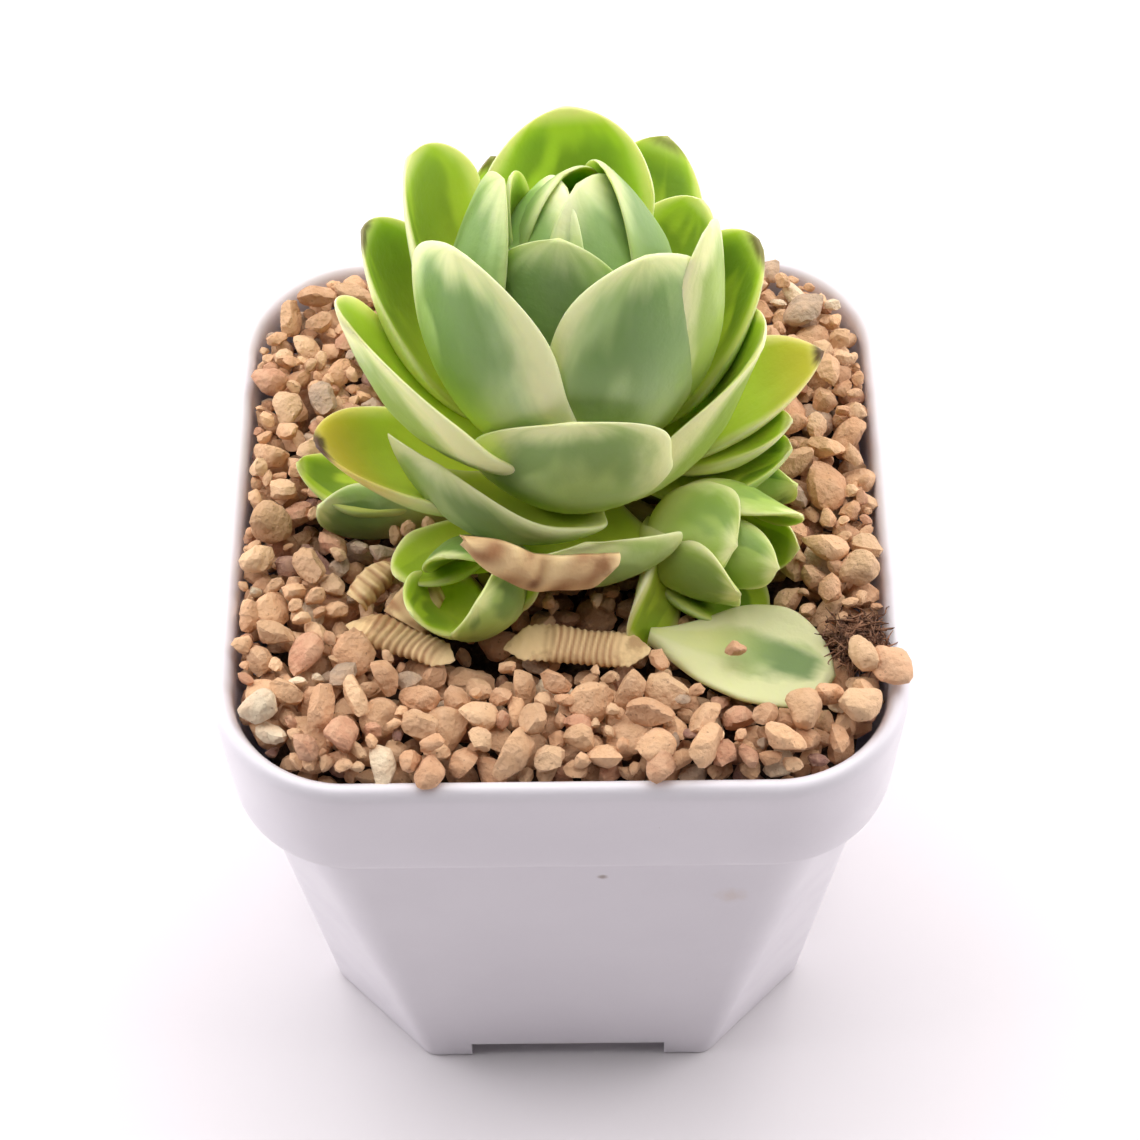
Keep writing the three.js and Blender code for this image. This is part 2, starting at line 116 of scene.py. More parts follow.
aim_camera()
area_lamp("lamp_over", (-30, 230, 640), 1000, 6.5, (1.0, 0.985, 0.98))
area_lamp("lamp_left", (-540, 60, 300), 420, 1.7, (0.98, 0.97, 1.0))
area_lamp("lamp_right", (540, 80, 300), 420, 1.7, (1.0, 0.98, 0.98))
world = bpy.data.worlds.new("surround")
world.use_nodes = True
surround = world.node_tree.nodes["Background"]
surround.inputs["Color"].default_value = (1.0, 0.985, 1.0, 1)
toward = world.node_tree.nodes.new("ShaderNodeTexCoord")
split = world.node_tree.nodes.new("ShaderNodeSeparateXYZ")
fall = world.node_tree.nodes.new("ShaderNodeMapRange")
fall.interpolation_type = "SMOOTHSTEP"
for socket, value in zip(("From Min", "From Max", "To Min", "To Max"), (-0.6, 0.3, 0.04, 0.56)):
    fall.inputs[socket].default_value = value
world.node_tree.links.new(toward.outputs["Generated"], split.inputs[0])
world.node_tree.links.new(split.outputs["Y"], fall.inputs["Value"])
world.node_tree.links.new(fall.outputs[0], surround.inputs["Strength"])
scene.world = world

bpy.ops.mesh.primitive_plane_add(size=6, location=(0, 0, -0.0002))
floor = bpy.context.object
floor.name = "floor"
floor_material, floor_tree, floor_shader = new_material("floor", Base_Color=(0.84, 0.8, 0.82, 1),
                                                        Roughness=0.7)
floor_shader.inputs["Emission Color"].default_value = (1.0, 0.975, 1.0, 1)
# The floor's glow rises with distance from the pot: painted light, leaving a painted shadow near the pot.
floor_place = floor_tree.nodes.new("ShaderNodeTexCoord")
floor_reach = floor_tree.nodes.new("ShaderNodeVectorMath")
floor_reach.operation = "LENGTH"
floor_glow = floor_tree.nodes.new("ShaderNodeMapRange")
for socket, value in zip(("From Min", "From Max", "To Min", "To Max"), (0.05, 0.4, 0.0, 0.4)):
    floor_glow.inputs[socket].default_value = value
floor_tree.links.new(floor_place.outputs["Object"], floor_reach.inputs[0])
floor_tree.links.new(floor_reach.outputs["Value"], floor_glow.inputs["Value"])
floor_tree.links.new(floor_glow.outputs[0], floor_shader.inputs["Emission Strength"])
floor.data.materials.append(floor_material)

# ---- Pot ----
# A square nursery pot, one moulding in thin white plastic: a deep collar, a tapering body with
# chamfered corners, a foot with a drainage slot in each side, and five drain holes in its floor.
POT = {
    "height": 71, "rim_half": 35, "rim_corner": 14, "band": 15.6, "band_half": 34.3,
    "neck_half": 32.4, "neck_chamfer": 7.4, "foot_half": 27.6, "foot_chamfer": 11.3,
    "wall": 1.6, "floor_low": 3.2, "floor_high": 5.2, "slot_half": 11.3, "slot_height": 3.4,
    "drain_radius": 3, "drain_reach": 12,
}
FULL_ROUND = 2 - math.sqrt(2)
SHOULDER = POT["height"] - POT["band"]
CORNER_STEPS = 9


def mix(a, b, t):
    return a + (b - a) * t


def square_ring(half, chamfer, fillet, z):
    """Points round a square whose corners are cut by a chamfer and blended by a fillet."""
    blend = min(fillet, chamfer / FULL_ROUND)
    along = half - chamfer - blend * math.tan(math.pi / 8)
    ring = []
    for corner in range(4):
        turn = corner * math.pi / 2
        for side in (0, 1):
            cx, cy = (along, half - blend) if side else (half - blend, along)
            for step in range(CORNER_STEPS):
                angle = (side + (step + 0.5) / CORNER_STEPS) * math.pi / 4
                x = cx + blend * math.cos(angle)
                y = cy + blend * math.sin(angle)
                c, s = math.cos(turn), math.sin(turn)
                ring.append((x * c - y * s, x * s + y * c, z))
    return ring


def body_ring(z, inset):
    t = z / SHOULDER
    half = mix(POT["foot_half"], POT["neck_half"], t) - inset
    chamfer = mix(POT["foot_chamfer"], POT["neck_chamfer"], t) - inset * FULL_ROUND
    return square_ring(half, max(chamfer, 1), mix(2.5, 9, t), z)


def rim_ring(half, z):
    corner = POT["rim_corner"] - (POT["rim_half"] - half)
    return square_ring(half, corner * FULL_ROUND, corner, z)


def add_mesh(name, points, faces, material, smooth_angle=180):
    """A mesh object in millimetres, smooth up to an angle, linked to the scene."""
    mesh = bpy.data.meshes.new(name)
    mesh.from_pydata([tuple(float(c) * MM for c in p) for p in points], [], faces)
    mesh.shade_smooth()
    if smooth_angle < 180:
        mesh.set_sharp_from_angle(angle=math.radians(smooth_angle))
    mesh.materials.append(material)
    piece = bpy.data.objects.new(name, mesh)
    scene.collection.objects.link(piece)
    return piece


def ring_faces(ring_count, n):
    """Quads between closed rings of n points, and a strip of quads over each end."""
    faces = []
    for k in range(ring_count - 1):
        for i in range(n):
            j = (i + 1) % n
            faces.append((k * n + i, k * n + j, (k + 1) * n + j, (k + 1) * n + i))
    top = (ring_count - 1) * n
    for i in range(n // 2 - 1):
        a, b, c, d = i, i + 1, n - i - 2, n - i - 1
        faces.append((d, c, b, a))
        faces.append((top + a, top + b, top + c, top + d))
    return faces


def settle_piece(piece, slot, *nodes):
    """The piece moves with the pot and stands for its CAD nodes, which it hides; its slot is not used."""
    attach(piece, "root")
    if nodes:
        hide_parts(*nodes)
    return piece


def cut(piece, cutter):
    """Cuts one mesh from another and drops the cutter."""
    boolean = piece.modifiers.new("cut", "BOOLEAN")
    boolean.object = cutter
    boolean.operation = "DIFFERENCE"
    boolean.solver = "EXACT"
    finish_modifiers(piece)
    bpy.data.objects.remove(cutter)


def finish_modifiers(piece):
    """Makes the piece's modified shape its own mesh."""
    evaluated = piece.evaluated_get(bpy.context.evaluated_depsgraph_get())
    mesh = bpy.data.meshes.new_from_object(evaluated)
    piece.modifiers.clear()
    piece.data = mesh


def wire(tree, kind, settings=None, **inputs):
    """Adds a node; an input is a socket to link from or a plain value, by name or by number."""
    node = tree.nodes.new(kind)
    for key, value in (settings or {}).items():
        setattr(node, key, value)
    for key, value in inputs.items():
        numbered = key[0] == "i" and key[1:].isdigit()
        socket = node.inputs[int(key[1:]) if numbered else key.replace("_", " ")]
        if isinstance(value, bpy.types.NodeSocket):
            tree.links.new(value, socket)
        else:
            socket.default_value = value
    return node


def math_node(tree, operation, a, b=0.0, clamp=False):
    settings = {"operation": operation, "use_clamp": clamp}
    return wire(tree, "ShaderNodeMath", settings, i0=a, i1=b).outputs[0]


def ramp(tree, value, low, high):
    """0 below low and 1 above high, with a smooth step between."""
    return wire(tree, "ShaderNodeMapRange", {"interpolation_type": "SMOOTHSTEP"},
                Value=value, From_Min=low, From_Max=high).outputs[0]


def blend_colour(tree, mask, a, b):
    """Colour a where the mask is 0, and b where it is 1."""
    node = wire(tree, "ShaderNodeMix", {"data_type": "RGBA"})
    for socket, value in ((node.inputs[0], mask), (node.inputs[6], a), (node.inputs[7], b)):
        if isinstance(value, bpy.types.NodeSocket):
            tree.links.new(value, socket)
        else:
            socket.default_value = value
    return node.outputs[2]


def speck_group():
    """Sparse small specks: a mask that is 1 on a speck, from object coordinates."""
    tree = bpy.data.node_groups.new("specks", "ShaderNodeTree")
    for name, value in (("Scale", 600.0), ("Size", 0.12), ("Share", 0.1)):
        tree.interface.new_socket(name, in_out="INPUT", socket_type="NodeSocketFloat").default_value = value
    tree.interface.new_socket("Mask", in_out="OUTPUT", socket_type="NodeSocketFloat")
    given = tree.nodes.new("NodeGroupInput")
    out = tree.nodes.new("NodeGroupOutput")
    place = wire(tree, "ShaderNodeTexCoord").outputs["Object"]
    cells = wire(tree, "ShaderNodeTexVoronoi", Vector=place, Scale=given.outputs["Scale"])
    chosen = wire(tree, "ShaderNodeSeparateColor", Color=cells.outputs["Color"])
    wobble = wire(tree, "ShaderNodeTexNoise", Vector=place, Scale=given.outputs["Scale"],
                  Detail=3.0).outputs[0]
    reach = math_node(tree, "ADD", cells.outputs["Distance"], math_node(tree, "MULTIPLY", wobble, 0.12))
    vary = math_node(tree, "ADD", chosen.outputs["Green"], 0.5)
    larger = math_node(tree, "MULTIPLY", given.outputs["Size"], vary)
    near = math_node(tree, "LESS_THAN", reach, larger)
    picked = math_node(tree, "LESS_THAN", chosen.outputs["Red"], given.outputs["Share"])
    tree.links.new(math_node(tree, "MULTIPLY", near, picked), out.inputs["Mask"])
    return tree


def cloud_group():
    """Soft cloudy variation from 0 to 1, from object coordinates."""
    tree = bpy.data.node_groups.new("clouds", "ShaderNodeTree")
    for name, value in (("Scale", 200.0), ("Detail", 4.0), ("Low", 0.35), ("High", 0.65)):
        tree.interface.new_socket(name, in_out="INPUT", socket_type="NodeSocketFloat").default_value = value
    tree.interface.new_socket("Mask", in_out="OUTPUT", socket_type="NodeSocketFloat")
    given = tree.nodes.new("NodeGroupInput")
    out = tree.nodes.new("NodeGroupOutput")
    place = wire(tree, "ShaderNodeTexCoord").outputs["Object"]
    noise = wire(tree, "ShaderNodeTexNoise", Vector=place, Scale=given.outputs["Scale"],
                 Detail=given.outputs["Detail"]).outputs[0]
    tree.links.new(ramp(tree, noise, given.outputs["Low"], given.outputs["High"]), out.inputs["Mask"])
    return tree


SPECKS = speck_group()
CLOUDS = cloud_group()


def specks(tree, scale, size, share):
    return wire(tree, "ShaderNodeGroup", {"node_tree": SPECKS}, Scale=scale, Size=size,
                Share=share).outputs[0]


def clouds(tree, scale, detail, low, high):
    return wire(tree, "ShaderNodeGroup", {"node_tree": CLOUDS}, Scale=scale, Detail=detail, Low=low,
                High=high).outputs[0]


def bump(tree, shader, height, strength, distance):
    """A bump of a height texture into the shader's normal; distance is in millimetres."""
    node = wire(tree, "ShaderNodeBump", Strength=strength, Distance=distance * MM, Height=height)
    tree.links.new(node.outputs[0], shader.inputs["Normal"])


def near_spot(tree, centre, radius):
    """1 at a place in millimetres, falling to 0 at a radius with a ragged edge."""
    place = wire(tree, "ShaderNodeTexCoord").outputs["Object"]
    away = wire(tree, "ShaderNodeVectorMath", {"operation": "DISTANCE"}, i0=place,
                i1=tuple(c * MM for c in centre)).outputs["Value"]
    ragged = wire(tree, "ShaderNodeTexNoise", Vector=place, Scale=700.0, Detail=4.0).outputs[0]
    away = math_node(tree, "ADD", away, math_node(tree, "MULTIPLY", ragged, radius * 0.9 * MM))
    return ramp(tree, away, radius * 1.35 * MM, radius * 0.5 * MM)


def pot_material():
    """White moulded plastic with a satin skin, fine scuffs, dust specks and faint soil stains."""
    material, tree, shader = new_material("pot_plastic", Roughness=0.34, IOR=1.48)
    shader.inputs["Subsurface Weight"].default_value = 0.12
    shader.inputs["Subsurface Radius"].default_value = (0.003, 0.003, 0.003)
    shader.inputs["Subsurface Scale"].default_value = 1.0
    colour = blend_colour(tree, clouds(tree, 45, 3, 0.3, 0.7), (0.76, 0.725, 0.775, 1),
                          (0.79, 0.755, 0.805, 1))
    dirt = specks(tree, 420, 0.075, 0.16)
    colour = blend_colour(tree, math_node(tree, "MULTIPLY", dirt, 0.55), colour, (0.42, 0.34, 0.30, 1))
    stain = near_spot(tree, (17.6, -31.5, 44.5), 2.6)
    colour = blend_colour(tree, math_node(tree, "MULTIPLY", stain, 0.35), colour, (0.62, 0.47, 0.36, 1))
    mark = near_spot(tree, (4.0, -31.9, 49.4), 0.75)
    colour = blend_colour(tree, math_node(tree, "MULTIPLY", mark, 0.8), colour, (0.28, 0.2, 0.16, 1))
    tree.links.new(colour, shader.inputs["Base Color"])
    scuffs = clouds(tree, 160, 6, 0.35, 0.75)
    rough = wire(tree, "ShaderNodeMapRange", Value=scuffs, To_Min=0.28, To_Max=0.44).outputs[0]
    tree.links.new(rough, shader.inputs["Roughness"])
    fine = wire(tree, "ShaderNodeTexNoise", Vector=wire(tree, "ShaderNodeTexCoord").outputs["Object"],
                Scale=900.0, Detail=3.0).outputs[0]
    bump(tree, shader, fine, 0.25, 0.06)
    return material


def build_pot():
    height, wall = POT["height"], POT["wall"]
    rim, band = POT["rim_half"], POT["band_half"]
    rings = [body_ring(POT["floor_low"], wall + 0.4), body_ring(0.25, wall + 0.02), body_ring(0, wall - 0.2)]
    rings += [body_ring(0, 0.25), body_ring(0.25, 0)]
    rings += [body_ring(z, 0) for z in (1, 14, 27, 40, SHOULDER - 1.2)]
    rings += [body_ring(SHOULDER - 0.5, 0.05), rim_ring(band - 1.0, SHOULDER - 0.15)]
    rings += [rim_ring(band - 0.35, SHOULDER), rim_ring(band - 0.08, SHOULDER + 0.3)]
    rings += [rim_ring(band, SHOULDER + 0.8)]
    rings += [rim_ring(mix(band, rim, t), mix(SHOULDER, height - 1.6, t)) for t in (0.15, 0.5, 0.9, 1)]
    lip = 1.05
    for step in range(1, 9):
        angle = math.pi * step / 9
        rings.append(rim_ring(rim - lip + lip * math.cos(angle), height - 1.6 + 1.6 * math.sin(angle)))
    rings += [rim_ring(rim - 2.12, height - 1.9), rim_ring(rim - 2.2, height - 4)]
    rings += [body_ring(SHOULDER - 2, wall), body_ring(POT["floor_high"] + 0.6, wall)]
    rings += [body_ring(POT["floor_high"], wall + 0.6)]
    points = [p for ring in rings for p in ring]
    pot = add_mesh("pot_moulding", points, ring_faces(len(rings), len(rings[0])), pot_material())
    for side in range(4):
        bpy.ops.mesh.primitive_cube_add(size=1)
        slot = bpy.context.object
        slot.scale = (2 * POT["slot_half"] * MM, 8 * MM, 2 * POT["slot_height"] * MM)
        turn = Matrix.Rotation(side * math.pi / 2, 4, "Z")
        slot.matrix_world = turn @ Matrix.Translation((0, -POT["foot_half"] * MM, 0)) @ Matrix.Diagonal(
            (*slot.scale, 1))
        cut(pot, slot)
    reach = POT["drain_reach"]
    for x, y in ((0, 0), (reach, reach), (-reach, reach), (-reach, -reach), (reach, -reach)):
        bpy.ops.mesh.primitive_cylinder_add(vertices=40, radius=POT["drain_radius"] * MM, depth=8 * MM,
                                            location=(x * MM, y * MM, POT["floor_low"] * MM))
        cut(pot, bpy.context.object)
    pot.data.shade_smooth()
    pot.data.set_sharp_from_angle(angle=math.radians(38))
    return settle_piece(pot, "pot_plastic", "pot")


build_pot()


# ---- Soil ----
# Dark peaty compost, pressed into the pot up to the gravel; only glimpses of it show between stones.
def soil_material():
    material, tree, shader = new_material("soil", Roughness=0.95)
    colour = blend_colour(tree, clouds(tree, 700, 5, 0.4, 0.6), (0.045, 0.025, 0.016, 1),
                          (0.14, 0.085, 0.055, 1))
    tree.links.new(colour, shader.inputs["Base Color"])
    bump(tree, shader, clouds(tree, 500, 6, 0.2, 0.8), 0.8, 0.8)
    return material


soil = bpy.data.objects["soil"]
soil.data.materials.clear()
soil.data.materials.append(soil_material())


# ---- Leaves ----
# A rosette of thick, waxy succulent leaves, cupped round a closed bud, each joined to the short stem by
# a narrow neck. The plant is variegated: cream margins, a green blotch in the middle, a powdery bloom.
LEAF_THICK = 1.9
LEAF_FLARE = 0.1  # how far the margins open out from the leaf's curl
LEAF_POINT = 0.35  # the small point past the tip
OBSTACLES = []
FRAMES = {"main": ((2, 3, 70), (1, 0, 0), (0, 1, 0), (0, 0.2, 1))}


def srgb(r, g, b, gain=1.0):
    """A linear colour from 8-bit display values."""
    parts = [c / 255 for c in (r, g, b)]
    linear = [c / 12.92 if c <= 0.04045 else ((c + 0.055) / 1.055) ** 2.4 for c in parts]
    return (*(min(c * gain, 1.0) for c in linear), 1.0)


def set_attribute(mesh, name, kind, values):
    """Stores one value per point of the mesh."""
    layer = mesh.attributes.new(name, kind, "POINT")
    key = {"FLOAT_VECTOR": "vector", "FLOAT_COLOR": "color"}.get(kind, "value")
    layer.data.foreach_set(key, np.asarray(values).ravel())


def add_frame(name, at, heading, rise):
    """A crown's frame: its origin, two directions across it and its own axis."""
    a, e = math.radians(heading), math.radians(rise)
    w = np.array((math.cos(e) * math.cos(a), math.cos(e) * math.sin(a), math.sin(e)))
    u = np.array((-math.sin(e) * math.cos(a), -math.sin(e) * math.sin(a), math.cos(e)))
    FRAMES[name] = (at, u, np.cross(w, u), w)


def leaf_width(s, widest, blunt, tip_round, neck):
    if s < widest:
        return mix(neck, 1, math.sin(s / widest * math.pi / 2) ** 1.1)
    return max(0.0, 1 - ((s - widest) / (1 - widest)) ** blunt) ** tip_round


def leaf_shape(frame, row, rings=34, around=40):
    """Points, faces and the leaf coordinates (across, along, inner face) of one leaf."""
    name, heading, start, end, rise, lift, half, cup, more = row
    at, u_axis, v_axis, w_axis = (np.array(part, float) for part in FRAMES[frame])
    rng = np.random.default_rng(sum(ord(c) * (i + 3) for i, c in enumerate(name)))
    phase = rng.uniform(0, 6.28, 6)
    a = math.radians(heading)
    out = u_axis * math.cos(a) + v_axis * math.sin(a)
    side = -u_axis * math.sin(a) + v_axis * math.cos(a)
    reach = math.dist(start, end) * more.get("bow", 0.42)
    rise, lift = math.radians(rise), math.radians(lift)
    control = np.array((start, (start[0] + reach * math.cos(rise), start[1] + reach * math.sin(rise)),
                        (end[0] - reach * math.cos(lift), end[1] - reach * math.sin(lift)), end))
    curl = half / math.radians(cup)
    widest, tip_round = more.get("widest", 0.6), more.get("tip_round", 0.62)
    wave, neck = more.get("wave", 0.25), more.get("neck", 0.35)
    blunt, skew, roll = more.get("blunt", 2.3), more.get("skew", 0), math.radians(more.get("roll", 0))
    points, coords = [], []
    for k in range(rings + 1):
        s = 1 - (1 - k / rings) ** 1.35 * 0.994 - 0.006
        basis = np.array(((1 - s) ** 3, 3 * s * (1 - s) ** 2, 3 * s * s * (1 - s), s ** 3))
        slope = np.array((-3 * (1 - s) ** 2, 3 * (1 - s) ** 2 - 6 * s * (1 - s), 6 * s * (1 - s) - 3 * s * s,
                          3 * s * s))
        r, h = basis @ control
        dr, dh = slope @ control
        centre = at + w_axis * h + out * r + side * more.get("sweep", 0) * s * s
        along = out * dr + w_axis * dh
        along /= np.linalg.norm(along)
        normal = np.cross(along, side)
        inward = normal * math.cos(roll) - side * math.sin(roll)
        rib = side * math.cos(roll) + normal * math.sin(roll)
        width = half * leaf_width(s, widest, blunt, tip_round, neck)
        uneven = [1 + 0.045 * math.sin(5 * s + phase[k]) + 0.014 * math.sin(19 * s + phase[k + 4])
                  for k in (0, 1)]
        thick = LEAF_THICK / 2 * min(1, 2.2 * (1 - s) + 0.22)
        for i in range(around):
            theta = 2 * math.pi * i / around
            u = -math.cos(theta)
            lens = math.copysign(abs(math.sin(theta)) ** 0.85, math.sin(theta))
            keel = 0.35 * math.exp(-(u / 0.3) ** 2) * (lens > 0) * min(1, 2 * s)
            angle = u * width * uneven[u > 0] / curl * (1 - LEAF_FLARE * u * u)
            edge = math.sin(5.5 * s + phase[2 if u < 0 else 3]) * wave * u * u * abs(u)
            swell = thick * (lens + keel) - edge
            distance = curl + swell
            points.append(centre + inward * (curl - distance * math.cos(angle)) + rib * distance
                          * math.sin(angle) + along * skew * u * width)
            coords.append((u, s, 1.0 if lens < 0 and not more.get("pale") else 0.0))
    points.append(centre + along * LEAF_POINT)
    coords.append((0.0, 1.0, 0.5))
    count = around
    faces = [(k * count + i, k * count + (i + 1) % count, (k + 1) * count + (i + 1) % count,
              (k + 1) * count + i) for k in range(rings) for i in range(count)]
    last = rings * count
    faces += [(last + i, last + (i + 1) % count, len(points) - 1) for i in range(count)]
    for i in range(count // 2 - 1):
        faces.append((count - i - 1, count - i - 2, i + 1, i))
    faces = [tuple(reversed(face)) for face in faces]
    return points, faces, coords


def leaf_material():
    """Variegated succulent skin, driven by each leaf's own coordinates and tone, plus painted light and
    shade.
    """
    material, tree, shader = new_material("leaf_skin", Roughness=0.46, IOR=1.42)
    shader.inputs["Subsurface Weight"].default_value = 0.35
    shader.inputs["Subsurface Radius"].default_value = (0.0016, 0.0022, 0.0007)
    shader.inputs["Subsurface Scale"].default_value = 1.0
    given = wire(tree, "ShaderNodeAttribute", {"attribute_name": "leaf"})
    axes = wire(tree, "ShaderNodeSeparateXYZ", Vector=given.outputs["Vector"])
    across, along, inside = axes.outputs
    tone = wire(tree, "ShaderNodeAttribute", {"attribute_name": "tone"})
    tones = wire(tree, "ShaderNodeSeparateColor", Color=tone.outputs["Color"])
    bloom, blotch, cream = tones.outputs
    dark_tip = tone.outputs["Alpha"]
    seed = wire(tree, "ShaderNodeAttribute", {"attribute_name": "seed"}).outputs["Fac"]
    out_across = math_node(tree, "ABSOLUTE", across)
    # Streaks run along the leaf, so their coordinates are stretched that way.
    streak_place = wire(tree, "ShaderNodeCombineXYZ", X=math_node(tree, "MULTIPLY", across, 1.7),
                        Y=math_node(tree, "MULTIPLY", along, 2.2), Z=seed).outputs[0]
    streaks = wire(tree, "ShaderNodeTexNoise", Vector=streak_place, Scale=1.0, Detail=4.0).outputs[0]
    patches = wire(tree, "ShaderNodeTexNoise", Vector=streak_place, Scale=0.8, Detail=2.0).outputs[0]
    rag = math_node(tree, "MULTIPLY", math_node(tree, "SUBTRACT", streaks, 0.5), 0.9)

    margin = math_node(tree, "ADD", math_node(tree, "ADD", out_across, rag), math_node(
        tree, "MULTIPLY", math_node(tree, "SUBTRACT", cream, 0.8), 1.2))
    margin = ramp(tree, margin, 0.6, 1.05)
    crest = ramp(tree, math_node(tree, "ADD", along, math_node(tree, "MULTIPLY", rag, 0.25)), 0.88, 1.0)
    edge = math_node(tree, "MULTIPLY", math_node(tree, "MAXIMUM", margin, crest), cream, clamp=True)
    heart = math_node(tree, "MULTIPLY", ramp(tree, along, 0.45, 0.78), ramp(tree, along, 1.0, 0.88))
    heart = math_node(tree, "MULTIPLY", heart, ramp(tree, out_across, 0.98, 0.4))
    heart = math_node(tree, "MULTIPLY", heart, ramp(tree, patches, 0.4, 0.5))
    heart = math_node(tree, "MULTIPLY", heart, blotch, clamp=True)
    # The lower outer face is painted paler and yellower: painted light over the shaded leaf bases.
    low = ramp(tree, along, 0.66, 0.2)

    outer = blend_colour(tree, bloom, srgb(146, 168, 66, 1.4), srgb(148, 169, 118, 1.48))
    outer = blend_colour(tree, math_node(tree, "MULTIPLY", low, 0.85), outer, srgb(190, 200, 126, 2.0))
    powder = math_node(tree, "MULTIPLY", ramp(tree, streaks, 0.36, 0.64), bloom)
    outer = blend_colour(tree, math_node(tree, "MULTIPLY", powder, 0.4), outer, srgb(178, 194, 162, 1.3))
    outer = blend_colour(tree, math_node(tree, "MULTIPLY", heart, 0.85), outer, srgb(84, 120, 54, 1.25))
    outer = blend_colour(tree, math_node(tree, "MULTIPLY", edge, 0.85), outer, srgb(222, 223, 166, 1.4))

    inner = blend_colour(tree, ramp(tree, along, 0.98, 0.4), srgb(144, 168, 40, 1.4),
                         srgb(182, 198, 72, 1.45))
    inner = blend_colour(tree, math_node(tree, "MULTIPLY", heart, 0.8), inner, srgb(88, 124, 28, 1.15))
    inner_edge = math_node(tree, "MAXIMUM", ramp(tree, math_node(tree, "ADD", out_across, math_node(
        tree, "MULTIPLY", rag, 0.35)), 0.7, 1.0), ramp(tree, along, 0.93, 1.0))
    inner_edge = math_node(tree, "MULTIPLY", inner_edge, math_node(tree, "MULTIPLY", cream, 0.8))
    inner = blend_colour(tree, inner_edge, inner, srgb(226, 226, 158, 1.1))
    colour = blend_colour(tree, inside, outer, inner)
    amber = math_node(tree, "MULTIPLY", ramp(tree, along, 0.66, 0.95), ramp(tree, dark_tip, 0.85, 1.0))
    colour = blend_colour(tree, math_node(tree, "MULTIPLY", amber, 0.6), colour, srgb(206, 158, 60, 1.1))
    dots = math_node(tree, "MULTIPLY", specks(tree, 620, 0.07, 0.035), 0.8)
    colour = blend_colour(tree, dots, colour, srgb(70, 62, 40))
    scorch = math_node(tree, "MULTIPLY", ramp(tree, math_node(tree, "ADD", along, math_node(
        tree, "MULTIPLY", rag, 0.06)), 0.955, 0.99), dark_tip, clamp=True)
    colour = blend_colour(tree, scorch, colour, srgb(84, 52, 38))
    # Each leaf's colour is scaled by its own factor: painted light above 1 and painted shade below 1.
    painted_light_and_shade = wire(tree, "ShaderNodeAttribute", {"attribute_name": "painted_light_and_shade"}).outputs["Fac"]
    toned = wire(tree, "ShaderNodeVectorMath", {"operation": "SCALE"}, i0=colour, Scale=painted_light_and_shade).outputs[0]
    tree.links.new(toned, shader.inputs["Base Color"])
    rough = wire(tree, "ShaderNodeMapRange", Value=powder, To_Min=0.4, To_Max=0.58).outputs[0]
    tree.links.new(rough, shader.inputs["Roughness"])
    skin = math_node(tree, "ADD", clouds(tree, 900, 3, 0.3, 0.7), math_node(tree, "MULTIPLY", streaks, 2.0))
    bump(tree, shader, skin, 0.22, 0.12)
    return material


LEAF_SKIN = leaf_material()


def add_leaves(frame, look, rows):
    """One piece for each leaf row, named after its CAD node; look is bloom, blotch, cream, dark tip."""
    for row in rows:
        name, more = row[0], row[8]
        points, faces, coords = leaf_shape(frame, row)
        leaf = add_mesh(name + "_skin", points, faces, LEAF_SKIN)
        OBSTACLES.extend(p for p in points[::3] if p[2] < 76)
        tone = more.get("look", look)
        set_attribute(leaf.data, "leaf", "FLOAT_VECTOR", coords)
        set_attribute(leaf.data, "tone", "FLOAT_COLOR", [tone] * len(points))
        seed = sum(ord(c) for c in name) % 97 * 0.37
        set_attribute(leaf.data, "seed", "FLOAT", [seed] * len(points))
        # A row's factor scales the leaf's colour: painted light above 1 and painted shade below 1.
        set_attribute(leaf.data, "painted_light_and_shade", "FLOAT", [more.get("painted_light_and_shade", 1.0)] * len(points))
        settle_piece(leaf, "leaf", name)


# ---- Bud ----
# The closed heart of the rosette: two leaves folded over each other under an arching hood.
add_leaves("main", (0.7, 0.7, 0.6, 0), (
    ("heart_leaf_left", 200, (2.8, 18), (0.9, 37.9), 8, 144, 10.8, 84,
     {"tip_round": 0.5, "bow": 0.5, "painted_light_and_shade": 1.35}),
    ("heart_leaf_right", 325, (2.5, 18), (0.2, 38.2), 5, 145, 12, 85,
     {"tip_round": 0.55, "bow": 0.5, "painted_light_and_shade": 1.1}),
    ("hood_leaf_left", 140, (2.5, 17), (1.5, 38.4), 15, 130, 10, 75, {"tip_round": 0.5, "bow": 0.47}),
    ("hood_leaf_right", 20, (2.5, 16), (3.2, 38.7), 5, 125, 10, 65, {"bow": 0.48}),
    ("bud_leaf_left", 196, (3, 14), (7, 40.5), 0, 120, 8.5, 50, {"bow": 0.5}),
    ("bud_leaf_back", 165, (2, 15), (6.3, 37.8), 50, 100, 6, 60, {}),
    ("bud_leaf_front", 257, (2.5, 15), (7, 38), 15, 110, 9.8, 50, {"blunt": 2.8, "painted_light_and_shade": 0.84}),
))

# ---- Inner leaves ----
# The tall upright leaves round the bud, thick and broadly rounded, with a small point each.
add_leaves("main", (0.7, 0.8, 0.9, 0), (
    ("inner_leaf_front_left", 232, (3, 12), (14, 39), 5, 100, 11.6, 50,
     {"sweep": -3.6, "blunt": 2.7, "painted_light_and_shade": 1.1}),
    ("inner_leaf_front_right", 289, (3, 12), (11.5, 38.8), 5, 105, 10.7, 50, {"sweep": 3, "blunt": 3.2}),
    ("inner_leaf_back", 95, (3, 14), (11, 37.7), 40, 80, 10.5, 40, {"blunt": 2.8, "painted_light_and_shade": 1.3}),
    ("inner_leaf_back_left", 165, (3, 13), (16.8, 37.6), 30, 85, 10, 50,
     {"blunt": 3, "look": (0.6, 0.7, 1, 0)}),
    ("inner_leaf_right", 336, (3, 12), (13.8, 38.3), 15, 95, 8.5, 50, {"look": (0.1, 0.2, 1.0, 0)}),
    ("inner_leaf_back_right", 32, (3, 12), (15, 29), 30, 80, 8, 50, {}),
    ("inner_leaf_behind", 122, (3, 11), (16, 29.6), 30, 80, 7.5, 50, {"look": (0.4, 0.9, 0.4, 0.8)}),
))

